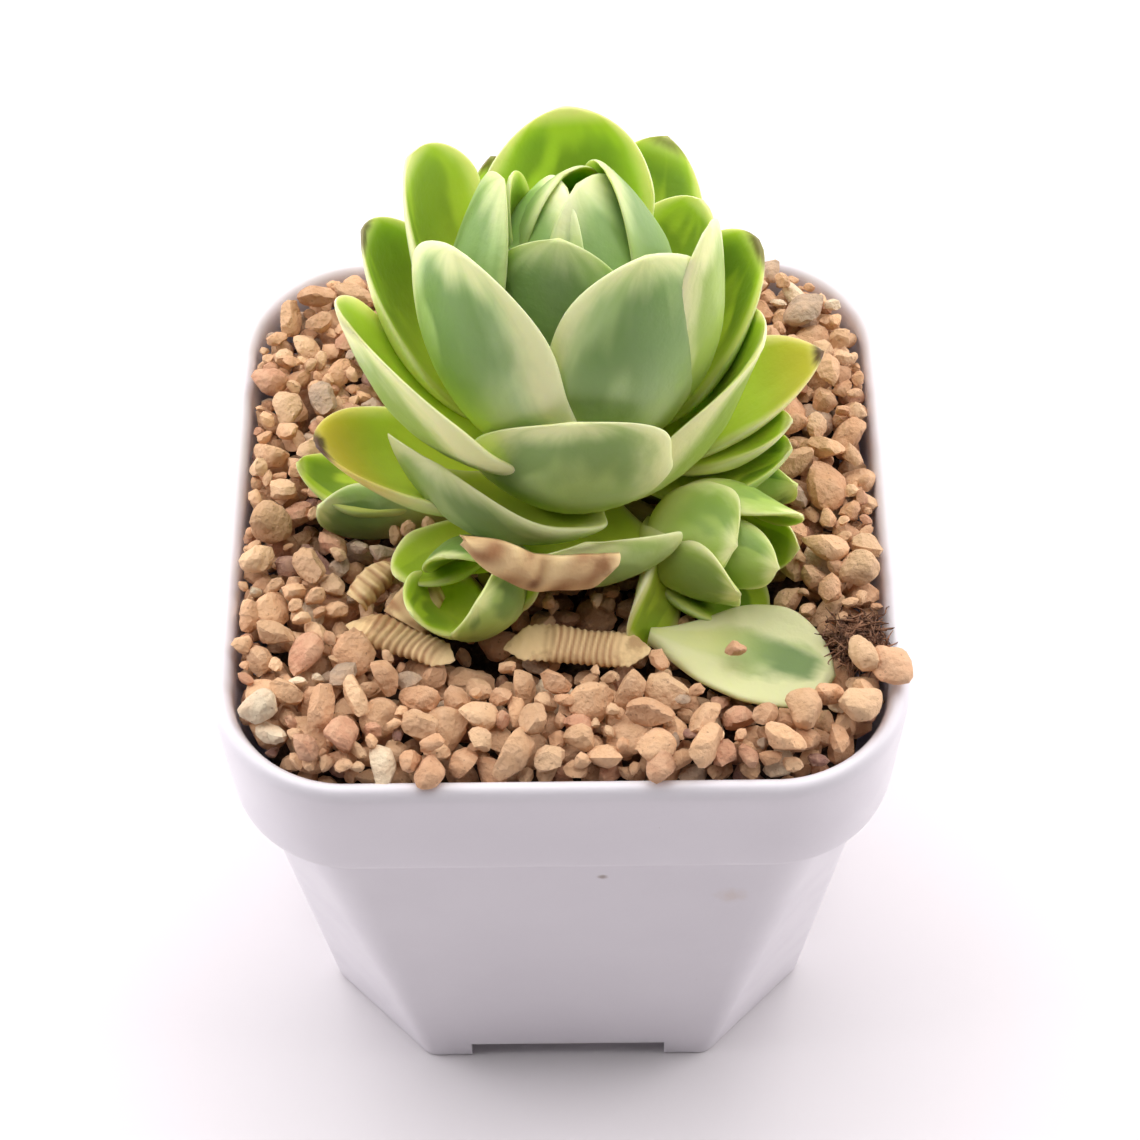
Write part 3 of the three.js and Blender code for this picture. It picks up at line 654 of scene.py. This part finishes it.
# ---- Middle leaves ----
# The ring that opens out under the inner leaves, broader and more spread.
add_leaves("main", (0.5, 0.6, 0.9, 0), (
    ("middle_leaf_left", 213, (3, 10), (24, 31.8), 8, 75, 11.3, 50,
     {"sweep": -4, "look": (0.2, 0.4, 1, 0.4), "painted_light_and_shade": 1.12}),
    ("middle_leaf_back_left", 170, (3, 9), (21.3, 30), 20, 80, 9, 50, {"look": (0.4, 0.6, 1, 0.8)}),
    ("middle_leaf_back_right", 62, (3, 8), (20, 28.3), 20, 70, 9, 50, {"look": (0.3, 1, 0.7, 0.6)}),
    ("middle_leaf_right_back", 18, (3, 8), (19.2, 26), 20, 70, 9.5, 50, {"look": (0.3, 1, 0.7, 0.8)}),
    ("middle_leaf_front", 263, (3, 7), (16, 25), -5, 90, 12.6, 48,
     {"sweep": 1.5, "blunt": 2.9, "tip_round": 0.5, "skew": 0.14}),
    ("middle_leaf_right", 335, (3, 6), (19, 24.6), 0, 66, 12.2, 52, {"sweep": 2, "look": (0.1, 0.3, 1, 0)}),
    ("middle_leaf_front_left", 240, (3, 6), (19, 17.8), -10, 105, 11.8, 45,
     {"sweep": -4.5, "blunt": 3.2, "tip_round": 0.5, "skew": -0.18, "painted_light_and_shade": 0.74}),
))

# ---- Outer leaves ----
# The oldest leaves, low and spreading, some with brown, drying tips.
add_leaves("main", (0.4, 0.5, 0.8, 0.4), (
    ("outer_leaf_back_left", 140, (3, 6), (22.5, 18.5), 15, 65, 9, 50, {}),
    ("outer_leaf_back", 88, (3, 6), (23, 20), 15, 65, 9, 50, {}),
    ("outer_leaf_left", 203, (3, 5), (28, 17.5), 0, 50, 8.5, 55, {"look": (0.2, 0.3, 0.8, 1)}),
    ("outer_leaf_right", 4, (3, 5), (25, 16), 15, 40, 7.5, 45,
     {"look": (0.1, 0.1, 1, 0.95), "tip_round": 0.8}),
    ("outer_leaf_back_right", 52, (3, 4), (22.5, 15), 10, 60, 8.5, 50, {}),
    ("outer_leaf_front", 272, (3, 2.4), (18, 11.7), -10, 105, 12, 45,
     {"widest": 0.65, "blunt": 3, "skew": 0.16}),
    ("outer_leaf_low_back", 112, (3, 3), (27, 12), 5, 50, 8.5, 50, {}),
))

# ---- Offsets ----
# Young rosettes on short runners from the base of the main stem: two in front, cupped and half open,
# and one at each side under the outer leaves.
add_frame("front_right", (10.5, -3, 72), 322, 20)
add_frame("front_left", (-7.5, -9.5, 71), 240, 50)
add_frame("fallen", (9, -16, 70.6), 345, 0)
add_leaves("main", (0.4, 0.9, 0.6, 0.3), (
    ("right_offset_leaf_1", 348, (6, 6), (22, 13.5), 10, 50, 4.5, 50, {"look": (0.2, 0.2, 1, 0.3)}),
    ("right_offset_leaf_2", 345, (6, 4), (22.3, 11), 0, 50, 6, 50, {}),
    ("right_offset_leaf_3", 345, (8, 3), (23, 6.5), 10, 30, 4.3, 55,
     {"roll": -95, "blunt": 3, "look": (0.3, 1, 0.6, 0)}),
    ("left_offset_leaf_1", 195, (10, 2), (27.5, 5.5), 5, 40, 4.2, 50,
     {"roll": 105, "blunt": 3.4, "look": (0.7, 0.7, 0.7, 0)}),
    ("left_offset_leaf_2", 188, (12, 2), (29, 8), 0, 60, 4.5, 50, {}),
))
add_leaves("front_right", (0.15, 0.6, 0.8, 0), (
    ("front_right_offset_leaf_1", 60, (1, 2), (1.5, 16.5), 20, 100, 5, 60, {}),
    ("front_right_offset_leaf_2", 35, (1, 1), (4.5, 13), 15, 95, 7, 55, {}),
    ("front_right_offset_leaf_3", 310, (1, 1), (5, 16.5), 20, 85, 5, 55, {}),
    ("front_right_offset_leaf_4", 95, (1, 0), (5, 14), 10, 90, 6, 50, {}),
    ("front_right_offset_leaf_5", 162, (1, 0), (8, 12.8), 10, 85, 6.5, 50, {"look": (0.3, 1, 0.5, 0)}),
    ("front_right_offset_leaf_6", 240, (1, 0), (5, 14), 10, 85, 5.5, 50, {}),
    ("front_right_offset_leaf_7", 105, (1, 1), (13.5, 5), 20, 0, 5, 45, {"look": (0.3, 0.5, 1, 0)}),
))
add_leaves("front_left", (0.25, 0.8, 0.7, 0), (
    ("front_left_offset_leaf_1", 30, (1, 1), (2.6, 11.4), 10, 95, 5, 55, {"painted_light_and_shade": 0.8}),
    ("front_left_offset_leaf_2", 152, (1, 0), (4.8, 11), 0, 98, 5.2, 55, {}),
    ("front_left_offset_leaf_3", 262, (1, 0), (3.8, 11.6), 0, 104, 7, 60, {}),
    ("front_left_offset_leaf_4", 300, (1, 0), (7.5, 5), 10, 50, 4, 40, {}),
))
add_leaves("main", (0.4, 0.4, 0.8, 0), (
    ("front_left_offset_leaf_5", 221, (10, 2.5), (24.4, 5.5), 10, 30, 4.5, 40, {}),
))

# ---- Fallen leaf ----
# A shed leaf lying on the gravel in front of the right offset, still fresh.
add_leaves("fallen", (0.35, 0.8, 1.15, 0.3), (
    ("fallen_leaf", 180, (0, 0), (0.4, 19), 85, 95, 6.8, 25,
     {"wave": 0.4, "pale": True, "blunt": 2.8, "painted_light_and_shade": 0.68, "neck": 0.12}),
))

# ---- Dried leaves ----
# Old leaves that withered on the plant and dropped: papery cream and tan husks, wrinkled across where
# they shrank, one rolled up on itself, a thin membrane beside them, and the curled dry tip of a low leaf.
def husk_material():
    """Dry leaf: cream ridges and tan hollows, painted light and shade; brown stains; thin, so some light
    passes.
    """
    material, tree, shader = new_material("dry_leaf", Roughness=0.72)
    shader.inputs["Subsurface Weight"].default_value = 0.1
    shader.inputs["Subsurface Radius"].default_value = (0.0015, 0.001, 0.0005)
    shader.inputs["Subsurface Scale"].default_value = 1.0
    ridge_light_and_shade = wire(tree, "ShaderNodeAttribute", {"attribute_name": "ridge_light_and_shade"}).outputs["Fac"]
    colour = blend_colour(tree, ridge_light_and_shade, srgb(160, 112, 72, 1.1), srgb(226, 196, 146, 1.15))
    mottle = math_node(tree, "MULTIPLY", clouds(tree, 260, 4, 0.45, 0.65), 0.4)
    colour = blend_colour(tree, mottle, colour, srgb(214, 186, 136, 1.1))
    stain = math_node(tree, "MULTIPLY", clouds(tree, 250, 5, 0.56, 0.68), 0.6)
    scorch = near_spot(tree, (-2.7, -15.8, 79.6), 1.2)
    colour = blend_colour(tree, stain, colour, srgb(150, 104, 64))
    colour = blend_colour(tree, math_node(tree, "MULTIPLY", scorch, 0.9), colour, srgb(112, 60, 38))
    tree.links.new(colour, shader.inputs["Base Color"])
    bump(tree, shader, clouds(tree, 620, 5, 0.2, 0.8), 0.5, 0.25)
    return material


HUSK = husk_material()


def spread(line, count):
    """A smooth run of points through a few given ones, evenly numbered."""
    line = np.array(line, float)
    at = np.linspace(0, len(line) - 1, count)
    low = np.clip(at.astype(int), 0, len(line) - 2)
    t = (at - low)[:, None]
    before, first = line[np.clip(low - 1, 0, None)], line[low]
    second, after = line[low + 1], line[np.clip(low + 2, None, len(line) - 1)]
    pull = (2 * first + (second - before) * t + (2 * before - 5 * first + 4 * second - after) * t ** 2
            + (3 * first - before - 3 * second + after) * t ** 3)
    return pull / 2


def add_sheet(name, upper, lower, bulge, thick, crinkle, pleats, node=None):
    """A thin crinkled sheet from an upper edge to a lower one, bulged outward between them."""
    rows, count = 12, 44
    rng = np.random.default_rng(len(name) * 7 + pleats)
    phase = rng.uniform(0, 6.28, 4)
    v = np.linspace(0, 1, rows)[None, :, None]
    grid = spread(upper, count)[:, None] * (1 - v) + spread(lower, count)[:, None] * v
    run, fall = np.gradient(grid, axis=0), np.gradient(grid, axis=1)
    normal = np.cross(fall, run)
    normal /= np.linalg.norm(normal, axis=2)[..., None]
    i = np.linspace(0, 1, count)[:, None]
    fold = np.sin(2 * np.pi * pleats * i + 2.2 * np.sin(3 * v[..., 0] + phase[0]) + phase[1])
    fold = fold * 0.6 + 0.4 * np.sin(2 * np.pi * pleats * 1.9 * i + phase[2] + 4 * v[..., 0])
    fade = np.clip(np.minimum(i, 1 - i) * 9, 0, 1)
    grid = grid + normal * (bulge * np.sin(np.pi * v) + (crinkle * fold * fade)[..., None])
    front = grid + normal * thick / 2
    back = grid - normal * thick / 2
    loops = np.concatenate([front, back[:, ::-1]], axis=1)
    # Colour follows the folds: pale on the ridges as painted light, darker in the hollows as painted shade.
    painted_light_and_shade = np.concatenate([fold, fold[:, ::-1]], axis=1) * 0.5 + 0.5
    points = loops.reshape(-1, 3)
    sheet = add_mesh(name, points, ring_faces(count, rows * 2), HUSK)
    set_attribute(sheet.data, "ridge_light_and_shade", "FLOAT", np.clip(painted_light_and_shade, 0, 1).ravel())
    OBSTACLES.extend(grid.reshape(-1, 3)[::4])
    return settle_piece(sheet, "dried_leaf", *([node] if node else []))


def add_husk(name, at, heading, length, half, high, ridges, smooth, node):
    """A flat withered leaf on the gravel, ridged across except near its ends."""
    rings, around = 84, 22
    rng = np.random.default_rng(len(name))
    points, painted_light_and_shade = [], []
    spin = Matrix.Rotation(math.radians(heading), 3, "Z")
    for k in range(rings + 1):
        t = k / rings
        body = (0.62 + 0.38 * math.sin(math.pi * t) ** 0.5) * (1 + 0.1 * math.sin(8 * t + len(name)))
        body *= min(1, 0.25 + 6 * t, 0.25 + 6 * (1 - t))
        rough = min(1, max(0, (t - smooth[0]) * 9)) * min(1, max(0, (smooth[1] - t) * 9))
        rib = math.sin(2 * math.pi * ridges * t + 0.6 * math.sin(9 * t))
        drift = 0.5 * math.sin(4 * t + len(name))
        strong = 0.5 + 0.5 * math.sin(37 * t + len(name)) ** 2
        for i in range(around):
            theta = 2 * math.pi * i / around
            lean = 0.28 * math.cos(theta)
            bend = 1.4 * math.sin(2 * theta + 5 * t) + 0.9 * math.sin(11 * t)
            crease = math.sin(2 * math.pi * ridges * t + bend)
            grow = 1 + 0.08 * strong * rough * crease * (math.sin(theta) > -0.3)
            flat = (1 - 0.72 * (1 - rough)) * high
            point = (t * length + lean * 0.5, half * body * math.cos(theta) * (1 + 0.05 * rib) + drift,
                     flat * body * math.sin(theta) * grow + 0.3 * math.sin(2.6 * t * math.pi))
            points.append(np.array(at) + np.array(spin @ Vector(point)))
            # Colour follows the creases: pale on the ridges as painted light, darker in the hollows as
            # painted shade.
            painted_light_and_shade.append(mix(0.85, 0.45 + 0.45 * crease * strong, rough) + 0.06 * rng.random())
    husk = add_mesh(name, points, ring_faces(rings + 1, around), HUSK)
    set_attribute(husk.data, "ridge_light_and_shade", "FLOAT", painted_light_and_shade)
    OBSTACLES.extend(points[::3])
    return settle_piece(husk, "dried_leaf", node)


add_husk("withered_leaf_left", (-21.3, -14.2, 71.0), 333, 11.8, 1.9, 1.0, 15, (0.12, 0.9),
         "dried_leaf_left")
add_husk("withered_leaf_front", (-5.6, -17.6, 71.0), 358, 14.6, 2.2, 1.2, 21, (0.26, 0.84),
         "dried_leaf_front")
add_sheet("rolled_leaf",
          ((-21.6, -12.0, 72.6), (-20.6, -10.6, 73.4), (-19.2, -9.2, 73.6), (-18.0, -8.2, 73.0)),
          ((-19.8, -13.2, 71.0), (-18.6, -11.6, 71.2), (-17.4, -10.0, 71.2), (-16.6, -8.8, 71.4)),
          1.3, 0.5, 0.22, 5, "dried_leaf_rolled")
add_sheet("membrane_left",
          ((-17.8, -13.6, 71.8), (-16.4, -12.2, 73.0), (-14.6, -10.6, 73.8), (-13.4, -9.6, 74)),
          ((-13.6, -16.2, 71.2), (-12.8, -14.8, 71.8), (-12.0, -13.4, 72.4), (-11.6, -12.6, 72.6)),
          0.5, 0.3, 0.12, 3)
add_sheet("dry_tip", ((-9.6, -14.3, 85.6), (-6.8, -14.5, 85.2), (-4.4, -14.5, 84.2), (-2.6, -14.3, 82.4),
                      (-1.2, -14.1, 81.8), (1.6, -14.3, 82.0), (4.2, -14.4, 82.2), (6, -14.1, 82.0)),
          ((-9.4, -15.1, 85.2), (-7.8, -15.9, 83.0), (-5.3, -16.1, 80.5), (-3.1, -15.9, 78.6),
           (-1.4, -15.7, 78.2), (1.1, -15.7, 78.3), (3.4, -15.5, 78.6), (5.6, -14.7, 80.6)),
          0.7, 0.5, 0.14, 3)

# ---- Root clump ----
# A tuft of fine brown roots lying on the gravel at the right.
ROOTS_AT = (29.8, -17.2, 70.9)


def build_roots():
    rng = np.random.default_rng(9)
    material, tree, shader = new_material("root_fibre", Roughness=0.9)
    colour = blend_colour(tree, clouds(tree, 900, 4, 0.4, 0.6), srgb(92, 62, 46), srgb(150, 108, 82))
    tree.links.new(colour, shader.inputs["Base Color"])
    points, faces = [], []
    for _ in range(420):
        start = rng.normal(size=3) * (0.95, 1.0, 0.5)
        curl, phase = rng.normal(size=3) * 0.45, rng.uniform(0, 6.28)
        step = rng.normal(size=3) * (0.2, 0.2, 0.12)
        base = len(points)
        for k in range(7):
            centre = np.array(ROOTS_AT) + start + step * k + curl * math.sin(0.7 * k + phase)
            thick = 0.14 * (1 - k / 9)
            for i in range(4):
                angle = math.pi * i / 2
                points.append(centre + np.array((math.cos(angle), math.sin(angle) * 0.6, math.sin(angle)))
                              * thick)
        faces += [tuple(base + index for index in face) for face in ring_faces(7, 4)]
    roots = add_mesh("root_clump", points, faces, material)
    for x, y in ((0, 0), (1.6, 0), (-1.6, 0), (0, 1.6), (0, -1.6)):
        OBSTACLES.append(np.array((ROOTS_AT[0] + x, ROOTS_AT[1] + y, ROOTS_AT[2] + 0.3)))
    return settle_piece(roots, "dried_leaf")


build_roots()

# ---- Stems ----
# Short pale stems under the rosette and its offsets, almost hidden; they keep their plain shape.
def stem_material():
    material, tree, shader = new_material("stem_skin", Roughness=0.6)
    colour = blend_colour(tree, clouds(tree, 300, 4, 0.4, 0.6), srgb(150, 156, 96), srgb(160, 132, 92))
    tree.links.new(colour, shader.inputs["Base Color"])
    return material


STEM_SKIN = stem_material()
for stem_name in ("stem", "stem_of_front_right_offset", "stem_of_front_left_offset",
                  "stem_of_right_offset", "stem_of_left_offset"):
    bpy.data.objects[stem_name].data.materials.clear()
    bpy.data.objects[stem_name].data.materials.append(STEM_SKIN)

# ---- Gravel ----
# A dressing of crushed, tumbled clay grit, one to five millimetres across, mostly tan with a few grey,
# purple-brown and pale stones. Each stone is dropped at the lowest of a few places; the ones buried out
# of sight or touching a leaf are left out.
GRAVEL = {
    "low": 66.0, "half": 32.7, "corner": 12.6, "coarse": 1500, "fine": 300, "variants": 14,
    "large_variants": 4, "hidden_below": 67.4,
}
STONE_COLOURS = (
    (0.36, (222, 178, 138)), (0.26, (212, 164, 126)), (0.18, (230, 190, 150)), (0.08, (200, 148, 118)),
    (0.05, (180, 156, 134)), (0.03, (150, 112, 100)), (0.04, (232, 212, 182)),
)


def stone_shape(rng, subdivisions):
    """Points and faces of a stone about one unit in radius: a ball cut by random soft facets."""
    ball = bmesh.new()
    bmesh.ops.create_icosphere(ball, subdivisions=subdivisions, radius=1)
    points = np.array([v.co[:] for v in ball.verts])
    faces = [[v.index for v in face.verts] for face in ball.faces]
    ball.free()
    normals = rng.normal(size=(11, 3))
    normals /= np.linalg.norm(normals, axis=1)[:, None]
    depth = rng.uniform(0.5, 0.82, 11)
    toward = np.clip(points @ normals.T / depth, 0, None)
    radius = 1.12 * (1 + (toward ** 20).sum(axis=1)) ** (-1 / 20)
    waves = rng.normal(size=(4, 3)) * 2.6
    radius *= 1 + 0.035 * np.sin(points @ waves.T + rng.uniform(0, 6.3, 4)).sum(axis=1)
    return points * radius[:, None] * (1.2, rng.uniform(0.8, 1.0), rng.uniform(0.66, 0.9)), faces


def settle_stones(rng):
    """Rows of x, y, z and radius: each stone takes the lowest of a few random places."""
    half, corner = GRAVEL["half"], GRAVEL["corner"]
    placed = np.zeros((0, 4))
    for index in range(GRAVEL["coarse"] + GRAVEL["fine"]):
        radius = 0.8 + 1.3 * rng.random() ** 1.25 + 0.35 * (rng.random() < 0.1)
        if index >= GRAVEL["coarse"]:
            radius = rng.uniform(0.55, 0.95)
        spots = rng.uniform(-half + 0.75 * radius, half - 0.75 * radius, (30, 2))
        beyond = np.clip(np.abs(spots) - (half - corner), 0, None)
        spots = spots[np.hypot(beyond[:, 0], beyond[:, 1]) < corner - 0.75 * radius]
        reach = 0.86 * (radius + placed[:, 3])
        gap = np.hypot(spots[:, None, 0] - placed[None, :, 0],
                       spots[:, None, 1] - placed[None, :, 1])
        rest = placed[:, 2] + np.sqrt(np.clip(reach ** 2 - gap ** 2, 0, None))
        rest = np.where(gap < reach, rest, 0).max(axis=1, initial=GRAVEL["low"] + 0.6 * radius)
        best = rest.argmin()
        placed = np.vstack([placed, (*spots[best], rest[best], radius)])
    return placed


def is_free(stone):
    """Whether a stone neither touches nor lies on a leaf, a husk or the root tuft."""
    gap = OBSTACLES - stone[:3]
    flat = np.hypot(gap[:, 0], gap[:, 1])
    touches = np.linalg.norm(gap, axis=1) < stone[3] * 0.92
    lies_on = (flat < stone[3] * 0.8) & (gap[:, 2] < 0) & (gap[:, 2] > -5)
    return not (touches | lies_on).any()


def gravel_material():
    """Porous clay grit: a tone per stone, darker pits, paler dusty patches, no shine."""
    material, tree, shader = new_material("clay_grit", Roughness=0.88)
    shader.inputs["Specular IOR Level"].default_value = 0.25
    base = wire(tree, "ShaderNodeAttribute", {"attribute_name": "stone_colour"}).outputs["Color"]
    dusty = blend_colour(tree, clouds(tree, 750, 5, 0.35, 0.7), base, srgb(226, 188, 154))
    soft = wire(tree, "ShaderNodeMix", {"data_type": "RGBA"}, i0=0.4)
    tree.links.new(base, soft.inputs[6])
    tree.links.new(dusty, soft.inputs[7])
    pits = math_node(tree, "MULTIPLY", specks(tree, 1900, 0.22, 0.3), 0.35)
    colour = blend_colour(tree, pits, soft.outputs[2], srgb(120, 82, 62))
    tree.links.new(colour, shader.inputs["Base Color"])
    bump(tree, shader, clouds(tree, 1500, 6, 0.2, 0.8), 0.7, 0.28)
    return material


def gravel_tree():
    """Geometry nodes: one stone from a collection on each point, by the point's own attributes."""
    tree = bpy.data.node_groups.new("gravel", "GeometryNodeTree")
    tree.interface.new_socket("Geometry", in_out="INPUT", socket_type="NodeSocketGeometry")
    tree.interface.new_socket("Stones", in_out="INPUT", socket_type="NodeSocketCollection")
    tree.interface.new_socket("Stone Size", in_out="INPUT", socket_type="NodeSocketFloat")
    tree.interface.new_socket("Material", in_out="INPUT", socket_type="NodeSocketMaterial")
    tree.interface.new_socket("Geometry", in_out="OUTPUT", socket_type="NodeSocketGeometry")
    given = tree.nodes.new("NodeGroupInput")
    out = tree.nodes.new("NodeGroupOutput")

    def named(name, kind):
        node = tree.nodes.new("GeometryNodeInputNamedAttribute")
        node.data_type = kind
        node.inputs["Name"].default_value = name
        return node.outputs["Attribute"]

    stones = wire(tree, "GeometryNodeCollectionInfo", Collection=given.outputs["Stones"],
                  Separate_Children=True, Reset_Children=True)
    turn = wire(tree, "FunctionNodeEulerToRotation", Euler=named("turn", "FLOAT_VECTOR"))
    size = wire(tree, "ShaderNodeVectorMath", {"operation": "SCALE"}, i0=named("size", "FLOAT_VECTOR"),
                Scale=given.outputs["Stone Size"])
    placed = wire(tree, "GeometryNodeInstanceOnPoints", Points=given.outputs["Geometry"],
                  Instance=stones.outputs[0], Pick_Instance=True, Instance_Index=named("variant", "INT"),
                  Rotation=turn.outputs[0], Scale=size.outputs[0])
    real = wire(tree, "GeometryNodeRealizeInstances", Geometry=placed.outputs[0])
    painted = wire(tree, "GeometryNodeSetMaterial", Geometry=real.outputs[0],
                   Material=given.outputs["Material"])
    tree.links.new(painted.outputs[0], out.inputs["Geometry"])
    return tree


def build_gravel():
    rng = np.random.default_rng(31)
    variants = bpy.data.collections.new("stone_variants")
    material = gravel_material()
    first_small = GRAVEL["large_variants"]
    for index in range(GRAVEL["variants"]):
        points, faces = stone_shape(rng, 3 if index < first_small else 2)
        mesh = bpy.data.meshes.new(f"variant_{index:02d}")
        mesh.from_pydata([tuple(p) for p in points], [], faces)
        mesh.shade_smooth()
        mesh.set_sharp_from_angle(angle=math.radians(32))
        variants.objects.link(bpy.data.objects.new(f"variant_{index:02d}", mesh))
    placed = settle_stones(rng)
    placed = placed[placed[:, 2] + placed[:, 3] > GRAVEL["hidden_below"]]
    placed = placed[[is_free(stone) for stone in placed]]
    count = len(placed)
    mesh = bpy.data.meshes.new("gravel")
    mesh.from_pydata([tuple(p * MM) for p in placed[:, :3]], [], [])
    gravel = bpy.data.objects.new("gravel", mesh)
    scene.collection.objects.link(gravel)
    large = placed[:, 3] > 1.8
    variant = np.where(large, rng.integers(0, first_small, count),
                       rng.integers(first_small, GRAVEL["variants"], count))
    size = placed[:, 3, None] * MM * rng.uniform(0.88, 1.1, (count, 3))
    turn = np.column_stack([rng.uniform(-0.6, 0.6, (count, 2)), rng.uniform(0, 6.28, count)])
    shares = np.array([share for share, _ in STONE_COLOURS])
    tones = np.array([srgb(*colour) for _, colour in STONE_COLOURS])
    tint = tones[rng.choice(len(tones), count, p=shares / shares.sum())]
    tint[:, :3] *= rng.uniform(0.84, 1.1, (count, 1))
    set_attribute(mesh, "variant", "INT", variant.astype(np.int32))
    set_attribute(mesh, "size", "FLOAT_VECTOR", size)
    set_attribute(mesh, "turn", "FLOAT_VECTOR", turn)
    set_attribute(mesh, "stone_colour", "FLOAT_COLOR", tint)
    modifier = gravel.modifiers.new("gravel", "NODES")
    modifier.node_group = gravel_tree()
    values = {"Stones": variants, "Stone Size": 1.0, "Material": material}
    for item in modifier.node_group.interface.items_tree:
        if item.in_out == "INPUT" and item.name in values:
            modifier[item.identifier] = values[item.name]
    finish_modifiers(gravel)
    for stone in list(variants.objects):
        bpy.data.objects.remove(stone)
    return settle_piece(gravel, "gravel", "gravel_bed")


def loose_stone(name, place, size, turn, colour, seed, node):
    """One stone on the rim or on a leaf, its size in millimetres."""
    points, faces = stone_shape(np.random.default_rng(seed), 3)
    points = points / np.abs(points).max(axis=0) * np.array(size) / 2
    spin = np.array(Matrix.Rotation(math.radians(turn), 3, "Z"))
    material = bpy.data.materials["clay_grit"]
    stone = add_mesh(name, points @ spin.T + np.array(place), faces, material, 55)
    set_attribute(stone.data, "stone_colour", "FLOAT_COLOR", [srgb(*colour)] * len(points))
    return settle_piece(stone, "gravel", *([node] if node else []))


OBSTACLES = np.array(OBSTACLES)
build_gravel()
loose_stone("rim_stone", (32.3, -21.5, 72.7), (5, 5.4, 3.2), 20, (222, 176, 140), 5, "stone_on_rim")
loose_stone("front_stone_left", (-12.8, -32.5, 72.0), (3.4, 4.8, 2.6), -25, (205, 158, 122), 6,
            "stone_front_left")
loose_stone("front_stone_right", (9.5, -32.5, 72.0), (3.4, 4.6, 2.6), 5, (196, 150, 118), 7,
            "stone_front_right")
loose_stone("stone_on_leaf", (17.4, -19.6, 73.0), (2.2, 1.9, 1.7), 30, (214, 166, 130), 8, None)
